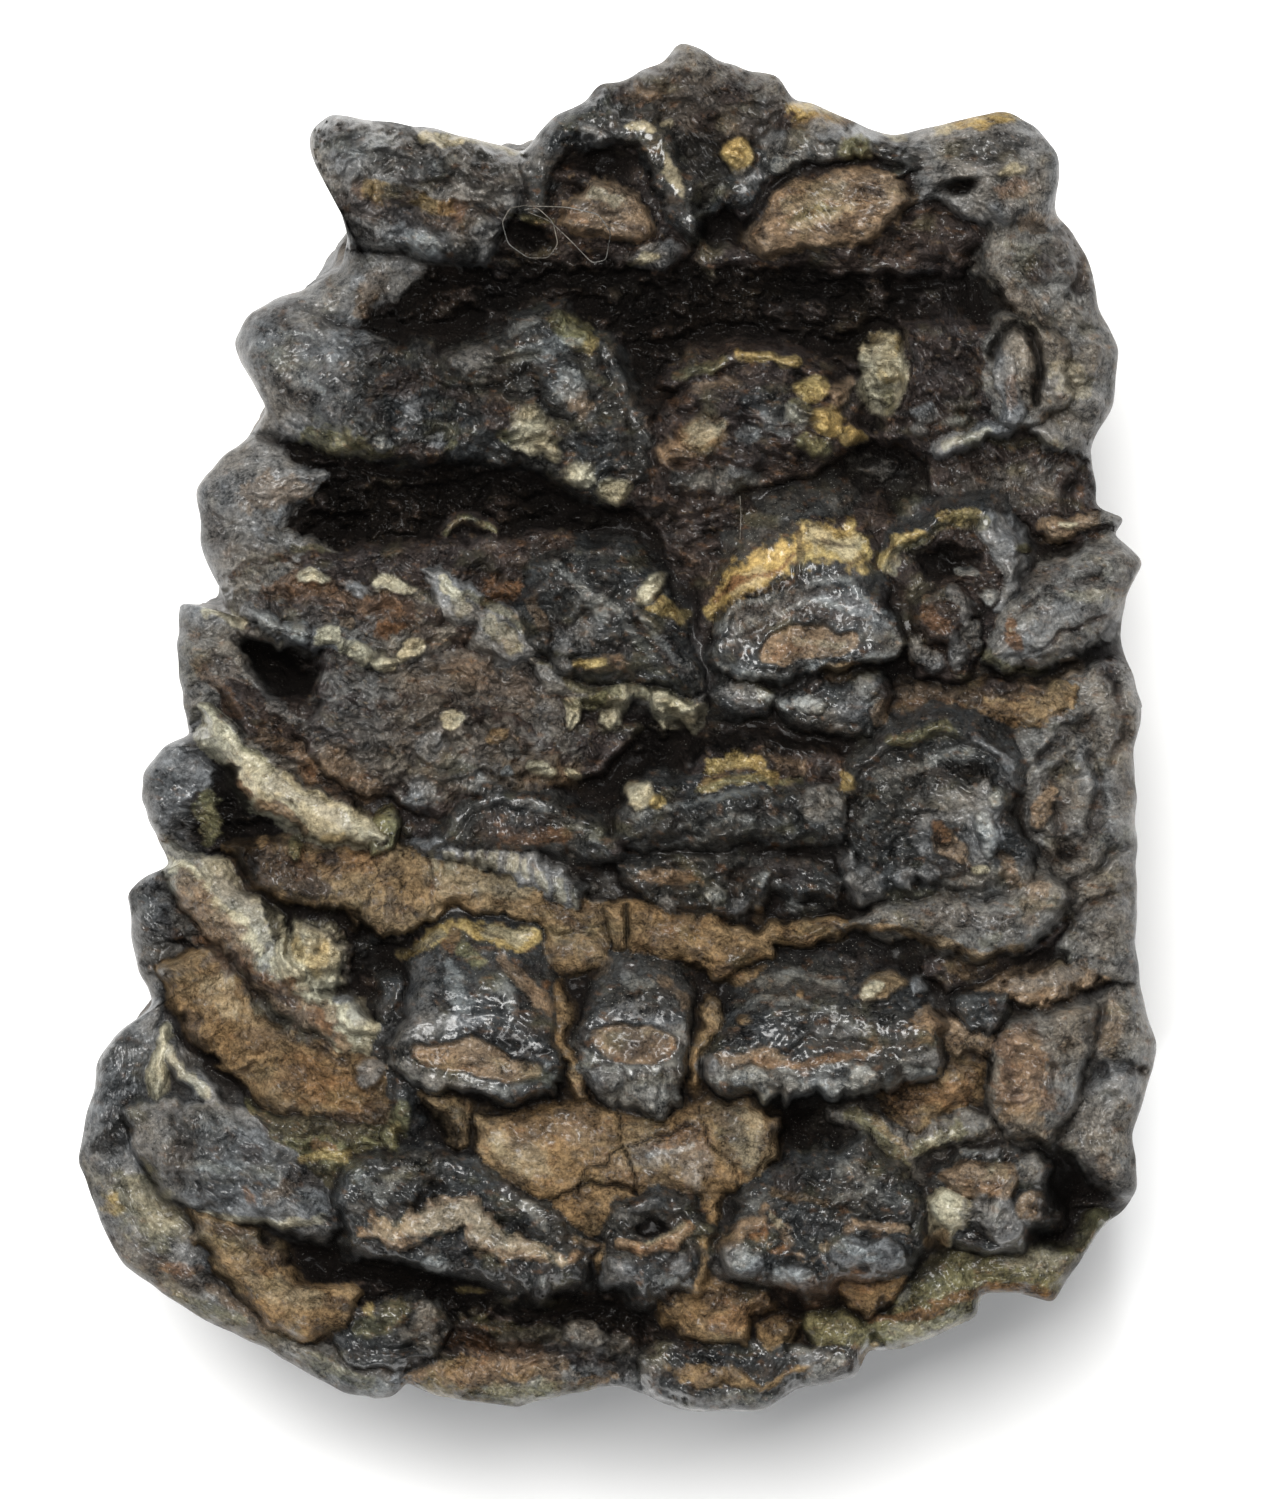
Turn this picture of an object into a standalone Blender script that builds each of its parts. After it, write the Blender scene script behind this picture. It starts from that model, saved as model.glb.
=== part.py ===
"""A fossil mammoth molar, worn and broken, lying on its root side with the chewing face up.

It is one solid, as it grew: enamel plates, dentine and cement are fused. The outline bulges at the
middle of the crown. On top, seven transverse plates and a stump lean towards -Y, each with a long
sloping back, a worn crest and a steep front. Below, the plates run down the sides as ribs to a
blunt base with a small flat spot.
"""

import bpy
import bmesh
import numpy as np

# Driving dimensions, in metres
MM = 0.001
LENGTH = 0.1142
WIDTH = 0.0897
HEIGHT = 0.0600
RIM_Z = 0.0390
CUTS = 80
TRIANGLES = 7600

# The chewing face: how deep the valleys are, and how far it falls away towards the sides and ends
VALLEY_DEPTH = 0.0085
SIDE_DROP = 0.0100
END_DROP = 0.0050
BACK_SLOPE = 0.0085
FRONT_SLOPE = 0.0040
END_FADE = 0.0040
PLATE_LEAN = 0.70
SHOULDER = 0.78

# The sides: the size of the section at the base, and where the flat spot ends
BASE_SCALE = 0.78
FLAT_SPOT = 0.62
BASE_ROUND = 0.0090
RIB_DEPTH = 0.0011
RIB_PITCH = 0.0148
LEAN_SHIFT = 0.0050
LEAN_DEPTH = 0.0120

# The widest outline seen from above, counter-clockwise from +X, in millimetres
OUTLINE = [
    (43.7, 1.8), (41.8, 7.2), (43.7, 13.8), (41.3, 17.6), (39.7, 22.0), (41.4, 29.0),
    (39.8, 37.0), (36.8, 43.0), (36.6, 48.2), (32.6, 51.2), (26.0, 49.8), (20.0, 49.9),
    (14.5, 52.6), (12.4, 54.4), (8.2, 55.8), (5.6, 57.1), (1.0, 54.2), (-3.0, 51.8),
    (-7.8, 48.0), (-15.6, 49.8), (-24.4, 50.8), (-25.6, 48.4), (-22.4, 40.8), (-24.0, 37.6),
    (-30.8, 34.2), (-31.6, 31.4), (-29.2, 26.2), (-33.4, 22.2), (-35.1, 18.0), (-33.0, 10.6),
    (-36.6, 9.6), (-36.2, 3.0), (-35.8, -1.2), (-39.4, -5.6), (-37.4, -11.6), (-40.7, -14.6),
    (-39.0, -22.6), (-43.2, -27.4), (-44.9, -36.0), (-41.2, -45.0), (-34.8, -49.3),
    (-22.8, -55.4), (-18.0, -55.2), (-8.6, -56.6), (0.7, -55.2), (6.2, -57.0), (12.0, -57.1),
    (20.0, -54.0), (23.8, -51.8), (30.2, -49.2), (36.2, -47.6), (39.8, -42.0), (43.3, -38.6),
    (43.0, -33.6), (44.7, -26.6), (43.2, -18.0), (43.0, -6.0),
]

# The crest line of each plate across the chewing face, in millimetres, from the back to the front
PLATE_LINES = [
    [(-2.0, 52.0), (6.0, 54.5), (14.5, 52.0)],
    [(-25.0, 44.5), (-18.0, 41.5), (0.0, 39.0), (18.0, 40.0), (30.0, 42.0), (36.0, 43.0)],
    [(-31.0, 28.0), (-20.0, 23.0), (-4.0, 20.0), (9.0, 19.0), (22.0, 20.0), (33.0, 25.0)],
    [(-34.0, 10.0), (-22.0, 5.0), (-4.0, 1.5), (14.0, 0.5), (28.0, 4.5), (41.0, 10.0)],
    [(-35.0, 0.5), (-20.0, -9.0), (-5.0, -13.5), (10.0, -15.0), (24.0, -14.5), (39.0, -8.0)],
    [(-37.0, -13.0), (-22.0, -27.0), (-8.0, -31.5), (12.0, -31.5), (28.0, -26.0), (42.0, -20.0)],
    [(-40.0, -30.0), (-30.0, -42.0), (-14.0, -45.5), (12.0, -47.0), (30.0, -43.0), (42.0, -36.0)],
    [(-44.0, -38.0), (-28.0, -50.0), (-8.0, -56.0), (10.0, -57.0), (24.0, -51.5), (36.0, -47.0)],
]


def smooth_step(low, high, value):
    """Zero below low, one above high, and a cubic between."""
    t = np.clip((value - low) / (high - low), 0.0, 1.0)
    return t * t * (3.0 - 2.0 * t)


def outline_radius(angle):
    """The outline's distance from the origin in each direction."""
    points = np.array(OUTLINE) * MM
    turns = np.arctan2(points[:, 1], points[:, 0]) % (2.0 * np.pi)
    order = np.argsort(turns)
    radii = np.hypot(points[:, 0], points[:, 1])
    return np.interp(angle % (2.0 * np.pi), turns[order], radii[order], period=2.0 * np.pi)


def plate_cover(x, y):
    """One on a plate's crest and zero on the valley floor: a long back slope and a steep front."""
    cover = np.zeros_like(x)
    for line in PLATE_LINES:
        places = np.array(line) * MM
        ahead = y - np.interp(x, places[:, 0], places[:, 1]) - 0.5 * PLATE_LEAN * VALLEY_DEPTH
        back = 1.0 - smooth_step(0.0, BACK_SLOPE, ahead)
        front = 1.0 - smooth_step(0.0, FRONT_SLOPE, -ahead)
        ends = smooth_step(places[0, 0] - END_FADE, places[0, 0] + END_FADE, x)
        ends = ends * (1.0 - smooth_step(places[-1, 0] - END_FADE, places[-1, 0] + END_FADE, x))
        cover = np.maximum(cover, np.where(ahead > 0.0, back, front) * ends)
    return cover


def face_height(x, y):
    """The chewing face, a shallow dome less the valleys, and the relief about its middle level."""
    across = np.abs(x) / (0.5 * WIDTH)
    along = np.abs(y) / (0.5 * LENGTH)
    dome = HEIGHT - SIDE_DROP * across ** 4 - END_DROP * along ** 4
    relief = VALLEY_DEPTH * (plate_cover(x, y) - 0.5)
    return dome - 0.5 * VALLEY_DEPTH + relief, relief


def section_scale(z):
    """The section grows from the blunt base to the rim in a quarter of a wave."""
    return BASE_SCALE + (1.0 - BASE_SCALE) * np.sin(0.5 * np.pi * np.clip(z / RIM_Z, 0.0, 1.0)) ** 0.7


def lean_shift(z):
    """How far the plates lie towards +Y below the rim: they lean at the top and turn upright."""
    return LEAN_SHIFT * (1.0 - np.exp(-np.clip(RIM_Z - z, 0.0, None) / LEAN_DEPTH))


def shape_cage(cage):
    """Carry the cube's points, which run from -1 to 1, to the tooth: face, sides and base."""
    a, b, c = cage[:, 0], cage[:, 1], cage[:, 2]
    disc_x = a * np.sqrt(1.0 - 0.5 * b * b)
    disc_y = b * np.sqrt(1.0 - 0.5 * a * a)
    reach = np.clip(np.hypot(disc_x, disc_y), 0.0, 1.0)
    angle = np.arctan2(disc_y, disc_x)
    radius = outline_radius(angle)

    top = c > 1.0 - 1e-6
    base = c < -1.0 + 1e-6
    z = (0.5 + 0.5 * c) * RIM_Z
    ribs = RIB_DEPTH * np.cos(2.0 * np.pi * (radius * np.sin(angle) + lean_shift(z)) / RIB_PITCH)
    ribs = ribs * np.abs(np.cos(angle)) * smooth_step(0.1 * RIM_Z, 0.5 * RIM_Z, z)
    scale = np.where(top, reach, section_scale(z) * np.where(base, reach, 1.0))
    scale = scale * (1.0 + np.where(top | base, 0.0, ribs / radius))
    x = scale * radius * np.cos(angle)
    y = scale * radius * np.sin(angle)

    shoulder = np.clip((reach - SHOULDER) / (1.0 - SHOULDER), 0.0, 1.0)
    inside = np.sqrt(1.0 - shoulder ** 2)
    height, relief = face_height(x, y)
    foot = BASE_ROUND * smooth_step(FLAT_SPOT, 1.0, reach) ** 2
    z = np.where(top, RIM_Z + (height - RIM_Z) * inside, np.where(base, foot, foot + (1.0 - foot / RIM_Z) * z))
    y = y + np.where(top, -PLATE_LEAN * relief * inside, lean_shift(z) * np.where(base, reach, 1.0))
    return np.stack([x, y, z], axis=1)


def main():
    """Make the tooth from a cube cut into a fine cage, and thin it to an even faceted solid."""
    for thing in list(bpy.data.objects):
        bpy.data.objects.remove(thing, do_unlink=True)
    group = bpy.data.collections.new("mammoth_molar")
    bpy.context.scene.collection.children.link(group)

    mesh = bpy.data.meshes.new("molar")
    cage = bmesh.new()
    bmesh.ops.create_cube(cage, size=2.0)
    bmesh.ops.subdivide_edges(cage, edges=cage.edges[:], cuts=CUTS, use_grid_fill=True)
    cage.to_mesh(mesh)
    cage.free()
    points = np.empty(len(mesh.vertices) * 3)
    mesh.vertices.foreach_get("co", points)
    mesh.vertices.foreach_set("co", shape_cage(points.reshape(-1, 3)).ravel())

    rough = bpy.data.objects.new("rough_molar", mesh)
    group.objects.link(rough)
    thin = rough.modifiers.new("even facets", "DECIMATE")
    thin.ratio = TRIANGLES / (2.0 * len(mesh.polygons))
    thin.use_collapse_triangulate = True
    solid = bpy.data.meshes.new_from_object(rough.evaluated_get(bpy.context.evaluated_depsgraph_get()))
    bpy.data.objects.remove(rough, do_unlink=True)

    points = np.empty(len(solid.vertices) * 3)
    solid.vertices.foreach_get("co", points)
    points = points.reshape(-1, 3)
    low = points.min(axis=0)
    high = points.max(axis=0)
    middle = np.array([0.5 * (low[0] + high[0]), 0.5 * (low[1] + high[1]), low[2]])
    real = np.array([WIDTH, LENGTH, HEIGHT]) / (high - low)
    solid.vertices.foreach_set("co", ((points - middle) * real).ravel())

    tooth = bpy.data.objects.new("molar", solid)
    group.objects.link(tooth)
    finish = bpy.data.materials.new("fossil_tooth")
    finish.use_nodes = True
    shader = finish.node_tree.nodes["Principled BSDF"]
    shader.inputs["Base Color"].default_value = (0.085, 0.065, 0.048, 1.0)
    shader.inputs["Roughness"].default_value = 0.55
    shader.inputs["Metallic"].default_value = 0.0
    solid.materials.clear()
    solid.materials.append(finish)


main()
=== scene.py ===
"""Looks of the fossil mammoth molar: its worn chewing face, its sides and its blunt root side.

The tooth lies on a pale floor and is seen straight down. The chewing face is one height above each
plan place, worked out as arrays: a floor, then leaning enamel lobes, ridges, cement slabs, knobs,
pits and cracks laid over it by name, then fine wear. Each of them also lays its tissue, such as
enamel, dentine or cement, which one material turns into colour, gloss and grain.
"""

import bpy
import numpy as np
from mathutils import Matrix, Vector


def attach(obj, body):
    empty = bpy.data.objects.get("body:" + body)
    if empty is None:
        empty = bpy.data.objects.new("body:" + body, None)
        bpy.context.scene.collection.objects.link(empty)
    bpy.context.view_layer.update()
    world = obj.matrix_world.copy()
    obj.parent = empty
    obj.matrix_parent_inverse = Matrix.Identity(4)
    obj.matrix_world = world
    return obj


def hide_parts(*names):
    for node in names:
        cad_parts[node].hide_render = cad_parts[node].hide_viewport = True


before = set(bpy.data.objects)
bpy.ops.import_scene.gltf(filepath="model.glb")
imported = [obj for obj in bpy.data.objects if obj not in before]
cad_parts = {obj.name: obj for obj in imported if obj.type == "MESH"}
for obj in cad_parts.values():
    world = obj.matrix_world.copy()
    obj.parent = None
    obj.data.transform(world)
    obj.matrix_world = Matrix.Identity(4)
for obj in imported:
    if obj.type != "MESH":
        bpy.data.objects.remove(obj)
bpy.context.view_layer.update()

# Scale: places on the face are read in pixels of the photograph, twelve to the millimetre
MM = 0.001
PIXELS_PER_MM = 12.0
MIDDLE_X, MIDDLE_Y = 617.0, 726.5
PHOTO_WIDTH, PHOTO_HEIGHT = 1275.0, 1499.0

# The camera looks straight down from far off, at the height of the crests
CAMERA_RISE_MM = 1200.0
CREST_MM = 54.0
SENSOR_MM = 36.0

# Cells of the chewing face across and along, in bands, and of the sides round and down
COARSE = 1.0
FACE_ACROSS = int(560 * COARSE)
BAND_ROWS = int(160 * COARSE)
BANDS = 4
SIDE_ROUND = int(900 * COARSE)
SIDE_DOWN = int(92 * COARSE)

# The tissues that the face lays. The pale glossy one is pale enamel and also painted glints and highlights.
# The near-black pit is partly dark cement and partly painted shade
TISSUES = [
    "enamel", "pearl", "worn", "cream", "amber", "dentine", "tan", "umber", "rust", "wall", "pit", "olive",
]

# The widest outline seen from above, in millimetres, counter-clockwise from +X
OUTLINE = [
    (43.75, 1.75), (43.0, 4.5), (41.75, 7.2), (42.4, 10.8), (43.75, 13.8), (43.2, 14.6), (41.4, 15.9),
    (42.2, 17.5), (40.0, 18.2), (39.8, 20.4), (39.5, 23.2), (41.2, 26.3), (41.7, 31.6), (40.3, 34.8),
    (39.2, 39.0), (38.0, 41.2), (36.4, 42.6), (36.8, 45.4), (36.9, 47.6), (35.0, 49.9), (32.8, 51.2),
    (29.2, 50.9), (26.1, 49.8), (22.8, 49.3), (18.6, 50.8), (16.6, 51.8), (14.8, 52.2), (13.6, 54.2),
    (10.6, 54.8), (8.6, 55.4), (7.0, 56.6), (5.4, 57.1), (3.9, 55.4), (1.1, 54.1), (-1.6, 53.4),
    (-2.4, 52.2), (-3.6, 51.6), (-5.4, 51.0), (-7.9, 47.8), (-12.0, 49.0), (-15.6, 49.9), (-20.0, 50.4),
    (-24.0, 51.0), (-25.4, 50.1), (-25.9, 48.6), (-25.0, 46.6), (-23.4, 43.6), (-22.4, 40.8),
    (-22.9, 38.2), (-25.0, 37.0), (-28.4, 35.6), (-30.8, 34.3), (-31.8, 32.0), (-31.2, 29.8),
    (-29.1, 26.3), (-30.6, 24.2), (-33.4, 22.2), (-35.0, 19.7), (-34.7, 16.4), (-34.4, 14.2),
    (-33.0, 11.2), (-32.0, 9.1), (-34.6, 10.0), (-36.5, 10.3), (-36.7, 6.0), (-36.2, 2.2),
    (-35.5, -0.8), (-37.6, -1.6), (-39.4, -3.6), (-39.6, -6.2), (-38.5, -9.0), (-37.2, -11.8),
    (-39.4, -12.6), (-40.8, -14.0), (-40.4, -18.0), (-39.6, -21.0), (-38.5, -23.3), (-41.6, -25.4),
    (-43.2, -27.8), (-43.9, -31.4), (-45.0, -36.2), (-43.6, -39.9), (-41.2, -45.0), (-38.0, -47.2),
    (-34.6, -49.4), (-28.6, -52.2), (-23.0, -55.3), (-19.8, -56.2), (-18.2, -55.6), (-17.7, -54.6),
    (-14.8, -56.0), (-8.6, -56.7), (-4.6, -55.7), (0.5, -54.9), (3.6, -56.4), (6.6, -57.1),
    (11.8, -57.1), (15.2, -55.2), (19.8, -54.2), (20.8, -52.0), (23.8, -51.8), (27.8, -50.3),
    (29.8, -49.5), (30.4, -47.4), (33.4, -47.1), (36.2, -47.9), (38.6, -44.8), (40.0, -42.1),
    (42.2, -40.5), (43.4, -38.2), (43.0, -34.4), (44.0, -30.6), (45.0, -26.7), (43.6, -22.0),
    (43.2, -16.2), (43.3, -9.0), (43.1, -2.2),
]


def smooth(low, high, value):
    """Zero below low, one above high, and a cubic between."""
    t = np.clip((value - low) / (high - low), 0.0, 1.0)
    return t * t * (3.0 - 2.0 * t)


def corner_value(i, j, seed):
    """A repeatable number from 0 to 1 for each whole-number corner: its indices with bits mixed."""
    mixed = (i * 73856093) ^ (j * 19349663) ^ (seed * 83492791)
    mixed = ((mixed ^ (mixed >> 13)) & 0x7FFFFFFF) * 1274126177 & 0x7FFFFFFF
    mixed = ((mixed ^ (mixed >> 15)) & 0x7FFFFFFF) * 668265263 & 0x7FFFFFFF
    return ((mixed ^ (mixed >> 14)) & 0xFFFFFF) / float(0xFFFFFF)


def waves(x, y, seed):
    """Gradient noise from about -1 to 1: each corner's slope, faded in by a quintic."""
    i = np.floor(x).astype(np.int64)
    j = np.floor(y).astype(np.int64)
    u = x - i
    v = y - j
    fade_u = u * u * u * (u * (u * 6.0 - 15.0) + 10.0)
    fade_v = v * v * v * (v * (v * 6.0 - 15.0) + 10.0)
    total = np.zeros_like(u)
    for di in (0, 1):
        for dj in (0, 1):
            turn = 2.0 * np.pi * corner_value(i + di, j + dj, seed)
            slope = (u - di) * np.cos(turn) + (v - dj) * np.sin(turn)
            total += slope * (fade_u if di else 1.0 - fade_u) * (fade_v if dj else 1.0 - fade_v)
    return 1.5 * total


def rough(x, y, seed, octaves=4, keep=0.55):
    """Waves over waves: each layer twice as fine, and keep times as strong."""
    total = np.zeros_like(x)
    strength = 1.0
    for layer in range(octaves):
        total += strength * waves(x * 2.0 ** layer, y * 2.0 ** layer, seed + layer)
        strength *= keep
    return total


def creased(x, y, seed, octaves=3):
    """Sharp-crested waves from 0 to 1: one less the size of the waves, squared."""
    total = np.zeros_like(x)
    strength = 0.6
    for layer in range(octaves):
        total += strength * (1.0 - np.abs(waves(x * 2.0 ** layer, y * 2.0 ** layer, seed + layer))) ** 2
        strength *= 0.5
    return total


def grains(x, y, seed):
    """The distances to the nearest and the second nearest of points scattered one to a cell."""
    i = np.floor(x).astype(np.int64)
    j = np.floor(y).astype(np.int64)
    first = np.full_like(x, 9.0)
    second = np.full_like(x, 9.0)
    for di in (-1, 0, 1):
        for dj in (-1, 0, 1):
            to_x = i + di + corner_value(i + di, j + dj, seed) - x
            to_y = j + dj + corner_value(i + di, j + dj, seed + 1) - y
            distance = np.hypot(to_x, to_y)
            second = np.minimum(second, np.maximum(first, distance))
            first = np.minimum(first, distance)
    return first, second


def depth_inside(ring, px, py):
    """How far places lie inside a closed line: the distance to its nearest side, negative outside."""
    nearest = np.full_like(px, 1e9)
    inside = np.zeros(px.shape, dtype=bool)
    for start, end in zip(ring, np.roll(ring, -1, axis=0)):
        run = end - start
        t = np.clip(((px - start[0]) * run[0] + (py - start[1]) * run[1]) / (run @ run), 0.0, 1.0)
        nearest = np.minimum(nearest, np.hypot(px - start[0] - t * run[0], py - start[1] - t * run[1]))
        if end[1] != start[1]:
            crosses = (start[1] > py) != (end[1] > py)
            inside ^= crosses & (px < start[0] + (py - start[1]) * run[0] / run[1])
    return np.where(inside, nearest, -nearest)


def nearest_on(line, px, py):
    """For each place, its distance to a line, the corners' other values there, and its side of the line."""
    best = np.full_like(px, 1e9)
    values = [np.full_like(px, line[0, column]) for column in range(2, line.shape[1])]
    side = np.ones_like(px)
    if len(line) == 1:
        return np.hypot(px - line[0, 0], py - line[0, 1]), values, side
    for start, end in zip(line[:-1], line[1:]):
        run = end - start
        squared = run[0] ** 2 + run[1] ** 2
        t = np.clip(((px - start[0]) * run[0] + (py - start[1]) * run[1]) / squared, 0.0, 1.0)
        to_x = px - start[0] - t * run[0]
        to_y = py - start[1] - t * run[1]
        away = np.hypot(to_x, to_y)
        closer = away < best
        best = np.where(closer, away, best)
        side = np.where(closer, np.sign(run[0] * to_y - run[1] * to_x), side)
        values = [np.where(closer, start[2 + k] + t * run[2 + k], value) for k, value in enumerate(values)]
    return best, values, side


def outline_place(turn, inner):
    """The place in millimetres from the middle for each direction, and how far out it lies from 0 to 1.

    The outline's points are shared out over a turn by half their angle and half their arc length. Inwards
    the curve turns into its own mean over a window of directions, so that the grid's lines part evenly.
    """
    points = np.array(OUTLINE + OUTLINE[:1])
    arc = np.concatenate([[0.0], np.cumsum(np.hypot(*np.diff(points, axis=0).T))])
    angle = np.unwrap(np.arctan2(points[:, 1], points[:, 0]))
    share = 0.5 * arc / arc[-1] + 0.5 * (angle - angle[0]) / (2.0 * np.pi)
    around = np.linspace(0.0, 1.0, 1440, endpoint=False)
    whole = turn / (2.0 * np.pi) % 1.0
    blend = smooth(0.45, 1.0, inner)
    place = []
    for axis in (0, 1):
        raw = np.interp(around, share, points[:, axis])
        sharp = np.mean([np.roll(raw, step) for step in range(-2, 3)], axis=0)
        sharp += 0.22 * waves(140.0 * around, 0.3 + 0.0 * around, 401 + axis)
        blurred = np.mean([np.roll(sharp, step) for step in range(-60, 61)], axis=0)
        out = np.interp(whole, around, sharp, period=1.0)
        mean = np.interp(whole, around, blurred, period=1.0)
        place.append(inner * (mean + (out - mean) * blend))
    return place


class Face:
    """The chewing face over an array of plan places, in photo pixels: y runs down towards the front.

    Its height z is in millimetres above the floor that the tooth lies on, and share holds how much of
    each tissue shows at each place. The places are bent by slow waves, so that no outline is regular.
    """

    def __init__(self, x, y):
        self.x, self.y = x, y
        self.bent_x = x + 8.0 * waves(x / 66.0, y / 66.0, 11) + 5.0 * waves(x / 27.0, y / 27.0, 12)
        self.bent_y = y + 7.0 * waves(x / 60.0, y / 60.0, 13) + 4.5 * waves(x / 25.0, y / 25.0, 14)
        self.bent_x += 1.6 * waves(x / 13.0, y / 13.0, 15) + 0.8 * waves(x / 6.0, y / 6.0, 17)
        self.bent_y += 1.6 * waves(x / 13.0, y / 13.0, 16) + 0.8 * waves(x / 6.0, y / 6.0, 18)
        self.z = np.zeros_like(x)
        self.share = {name: np.zeros_like(x) for name in TISSUES}
        self.share["umber"] += 1.0

    def near(self, x, y, reach_x, reach_y):
        """The places within a box about a point."""
        return np.flatnonzero((np.abs(self.bent_x - x) < reach_x) & (np.abs(self.bent_y - y) < reach_y))

    def around(self, line, reach):
        """The places within a box about a line's points."""
        low = line[:, :2].min(axis=0)
        high = line[:, :2].max(axis=0)
        middle = 0.5 * (low + high)
        half = 0.5 * (high - low) + reach
        return self.near(middle[0], middle[1], half[0], half[1])

    def about(self, x, y, rx, ry, turn, reach):
        """The places within reach of a point, and where they lie in units of rx and ry, turned by degrees."""
        at = self.near(x, y, reach, reach)
        across = np.deg2rad(turn)
        dx = self.bent_x[at] - x
        dy = self.bent_y[at] - y
        u = (dx * np.cos(across) + dy * np.sin(across)) / rx
        v = (dy * np.cos(across) - dx * np.sin(across)) / ry
        return at, u, v

    def within(self, corners, spare):
        """The places near a closed line of corners, the line and its middle."""
        ring = np.array(corners, dtype=float)
        middle = ring.mean(axis=0)
        reach = np.abs(ring - middle).max(axis=0) + spare
        return self.near(middle[0], middle[1], reach[0], reach[1]), ring, middle

    def lay(self, at, tissue, cover):
        """Cover the tissues at some places with one of them."""
        for name in TISSUES:
            self.share[name][at] *= 1.0 - cover
        self.share[tissue][at] += cover

    def rise(self, at, z, blend=0.25):
        """The higher of the old and the new surface, with a small fillet; returns where the new one shows."""
        old = self.z[at]
        part = np.clip(0.5 + 0.5 * (z - old) / blend, 0.0, 1.0)
        self.z[at] = old * (1.0 - part) + z * part + blend * part * (1.0 - part)
        return part

    def lobe(self, x, y, a, b, z, turn=0.0, ring=10.0, lip=24.0, back=90.0, fall=8.0, bow=60.0, basin=0.9,
             core="dentine", shell="enamel", rim="pearl", ribs=0.05, bead=34.0, seed=5):
        """A leaning finger of enamel worn through at its tip.

        The worn oval has half sizes a and b, and holds a pad of dentine, sunk by basin below an eave.
        Behind it, towards the top of the photograph, the finger's back is a dome that drops by fall over
        back pixels, and bows down towards its two sides. Ahead of it a thin lip, cut into beads, rounds
        down steeply.
        """
        reach = a + ring + back + lip + 30.0
        at = self.near(x, y, reach, reach)
        across = np.deg2rad(turn)
        dx = self.bent_x[at] - x
        dy = self.bent_y[at] - y
        u = dx * np.cos(across) + dy * np.sin(across)
        v = dy * np.cos(across) - dx * np.sin(across)
        wander = waves(u / 30.0, v / 60.0, seed) + 0.5 * waves(u / 13.0, v / 30.0, seed + 1)
        side = np.abs(u) / (a + ring)
        half = np.sqrt(np.clip(1.0 - side ** 2.6, 0.0, 1.0))
        behind = -v - (b + ring) * half
        ahead = v - b * half - 2.5 * wander
        far = np.clip(behind / back, 0.0, None)
        top = z + 0.35 * smooth(-ring, 0.0, behind) - fall * far ** 1.45
        top = top - fall / back * bow * (1.0 - half) * smooth(0.0, 30.0, behind)
        top = top - 1.3 * np.minimum(side, 1.2) ** 6
        streaks = rough(u / (3.5 + 3.0 * np.clip(far, 0.0, 1.5)), v / 46.0, seed + 2, 3)
        waves_across = np.sin(2.0 * np.pi * behind / 7.0 + 5.0 * waves(u / 30.0, v / 16.0, seed + 4))
        ledges = ribs * waves_across * (0.3 + 1.2 * np.exp(-np.clip(behind, 0.0, None) / 22.0))
        dents = 0.22 * rough(u / 34.0, v / 26.0, seed + 7, 3)
        top = top + (0.09 * streaks + ledges + dents) * smooth(-ring, 4.0, behind)
        beads = 0.5 + 0.5 * np.cos(2.0 * np.pi * u / bead + 3.2 * waves(u / 60.0, v / 120.0, seed + 3))
        beads = beads ** 0.5
        thick = lip * (0.72 + 0.30 * beads + 0.22 * wander)
        over = np.clip((ahead - 3.0) / thick, 0.0, 1.0)
        front = z - 0.25 - 1.1 * thick / PIXELS_PER_MM * (1.0 - np.sqrt(1.0 - over ** 2))
        front = front - 0.35 * (1.0 - beads) * smooth(0.1, 0.9, over)
        front = front - 0.8 * np.clip(ahead - 3.0 - thick, 0.0, None)
        top = np.minimum(top, front) - 0.4 * np.clip(side - 1.0, 0.0, None) * (a + ring)
        inside = (1.0 - np.hypot(u / a, v / b)) * min(a, b) + 2.2 * wander
        sunk = smooth(-1.0, 2.5, inside)
        pad = 0.55 * smooth(1.0, min(a, b), inside) + 0.10 * rough(u / 13.0, v / 6.0, seed + 6, 3)
        top = top - sunk * (basin * smooth(b, -b, v) + 0.15 - pad)
        part = self.rise(at, top)
        self.lay(at, shell, part)
        # The rim tissue on the lip, most on the bead tops, is partly pale enamel and partly a painted
        # highlight
        gleam = np.clip(0.15 + 0.30 * beads + 0.55 * rough(dx / 18.0, dy / 12.0, seed + 5, 3), 0.0, 1.0)
        self.lay(at, rim, part * gleam * smooth(-2.0, 3.0, ahead))
        self.lay(at, core, part * smooth(0.0, 3.0, inside))

    def ridge(self, points, tissue="enamel", back=0.09, front=0.30, arch=0.4, blend=0.25):
        """A ridge along a line of (x, y, z, half width): an arched top and a slope on either side.

        The slopes are in millimetres a pixel; back is the side to the left of the line's direction.
        """
        line = np.array(points, dtype=float)
        at = self.around(line, 90.0 + line[:, 3].max())
        best, (z, wide), side = nearest_on(line, self.bent_x[at], self.bent_y[at])
        wide = wide * (1.0 + 0.5 * rough(self.x[at] / 16.0, self.y[at] / 16.0, 43, 3))
        slope = np.where(side > 0.0, front, back)
        top = z - arch * np.clip(best / wide, 0.0, 1.0) ** 2 - slope * np.clip(best - wide, 0.0, None)
        part = self.rise(at, top, blend)
        self.lay(at, tissue, part)

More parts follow.
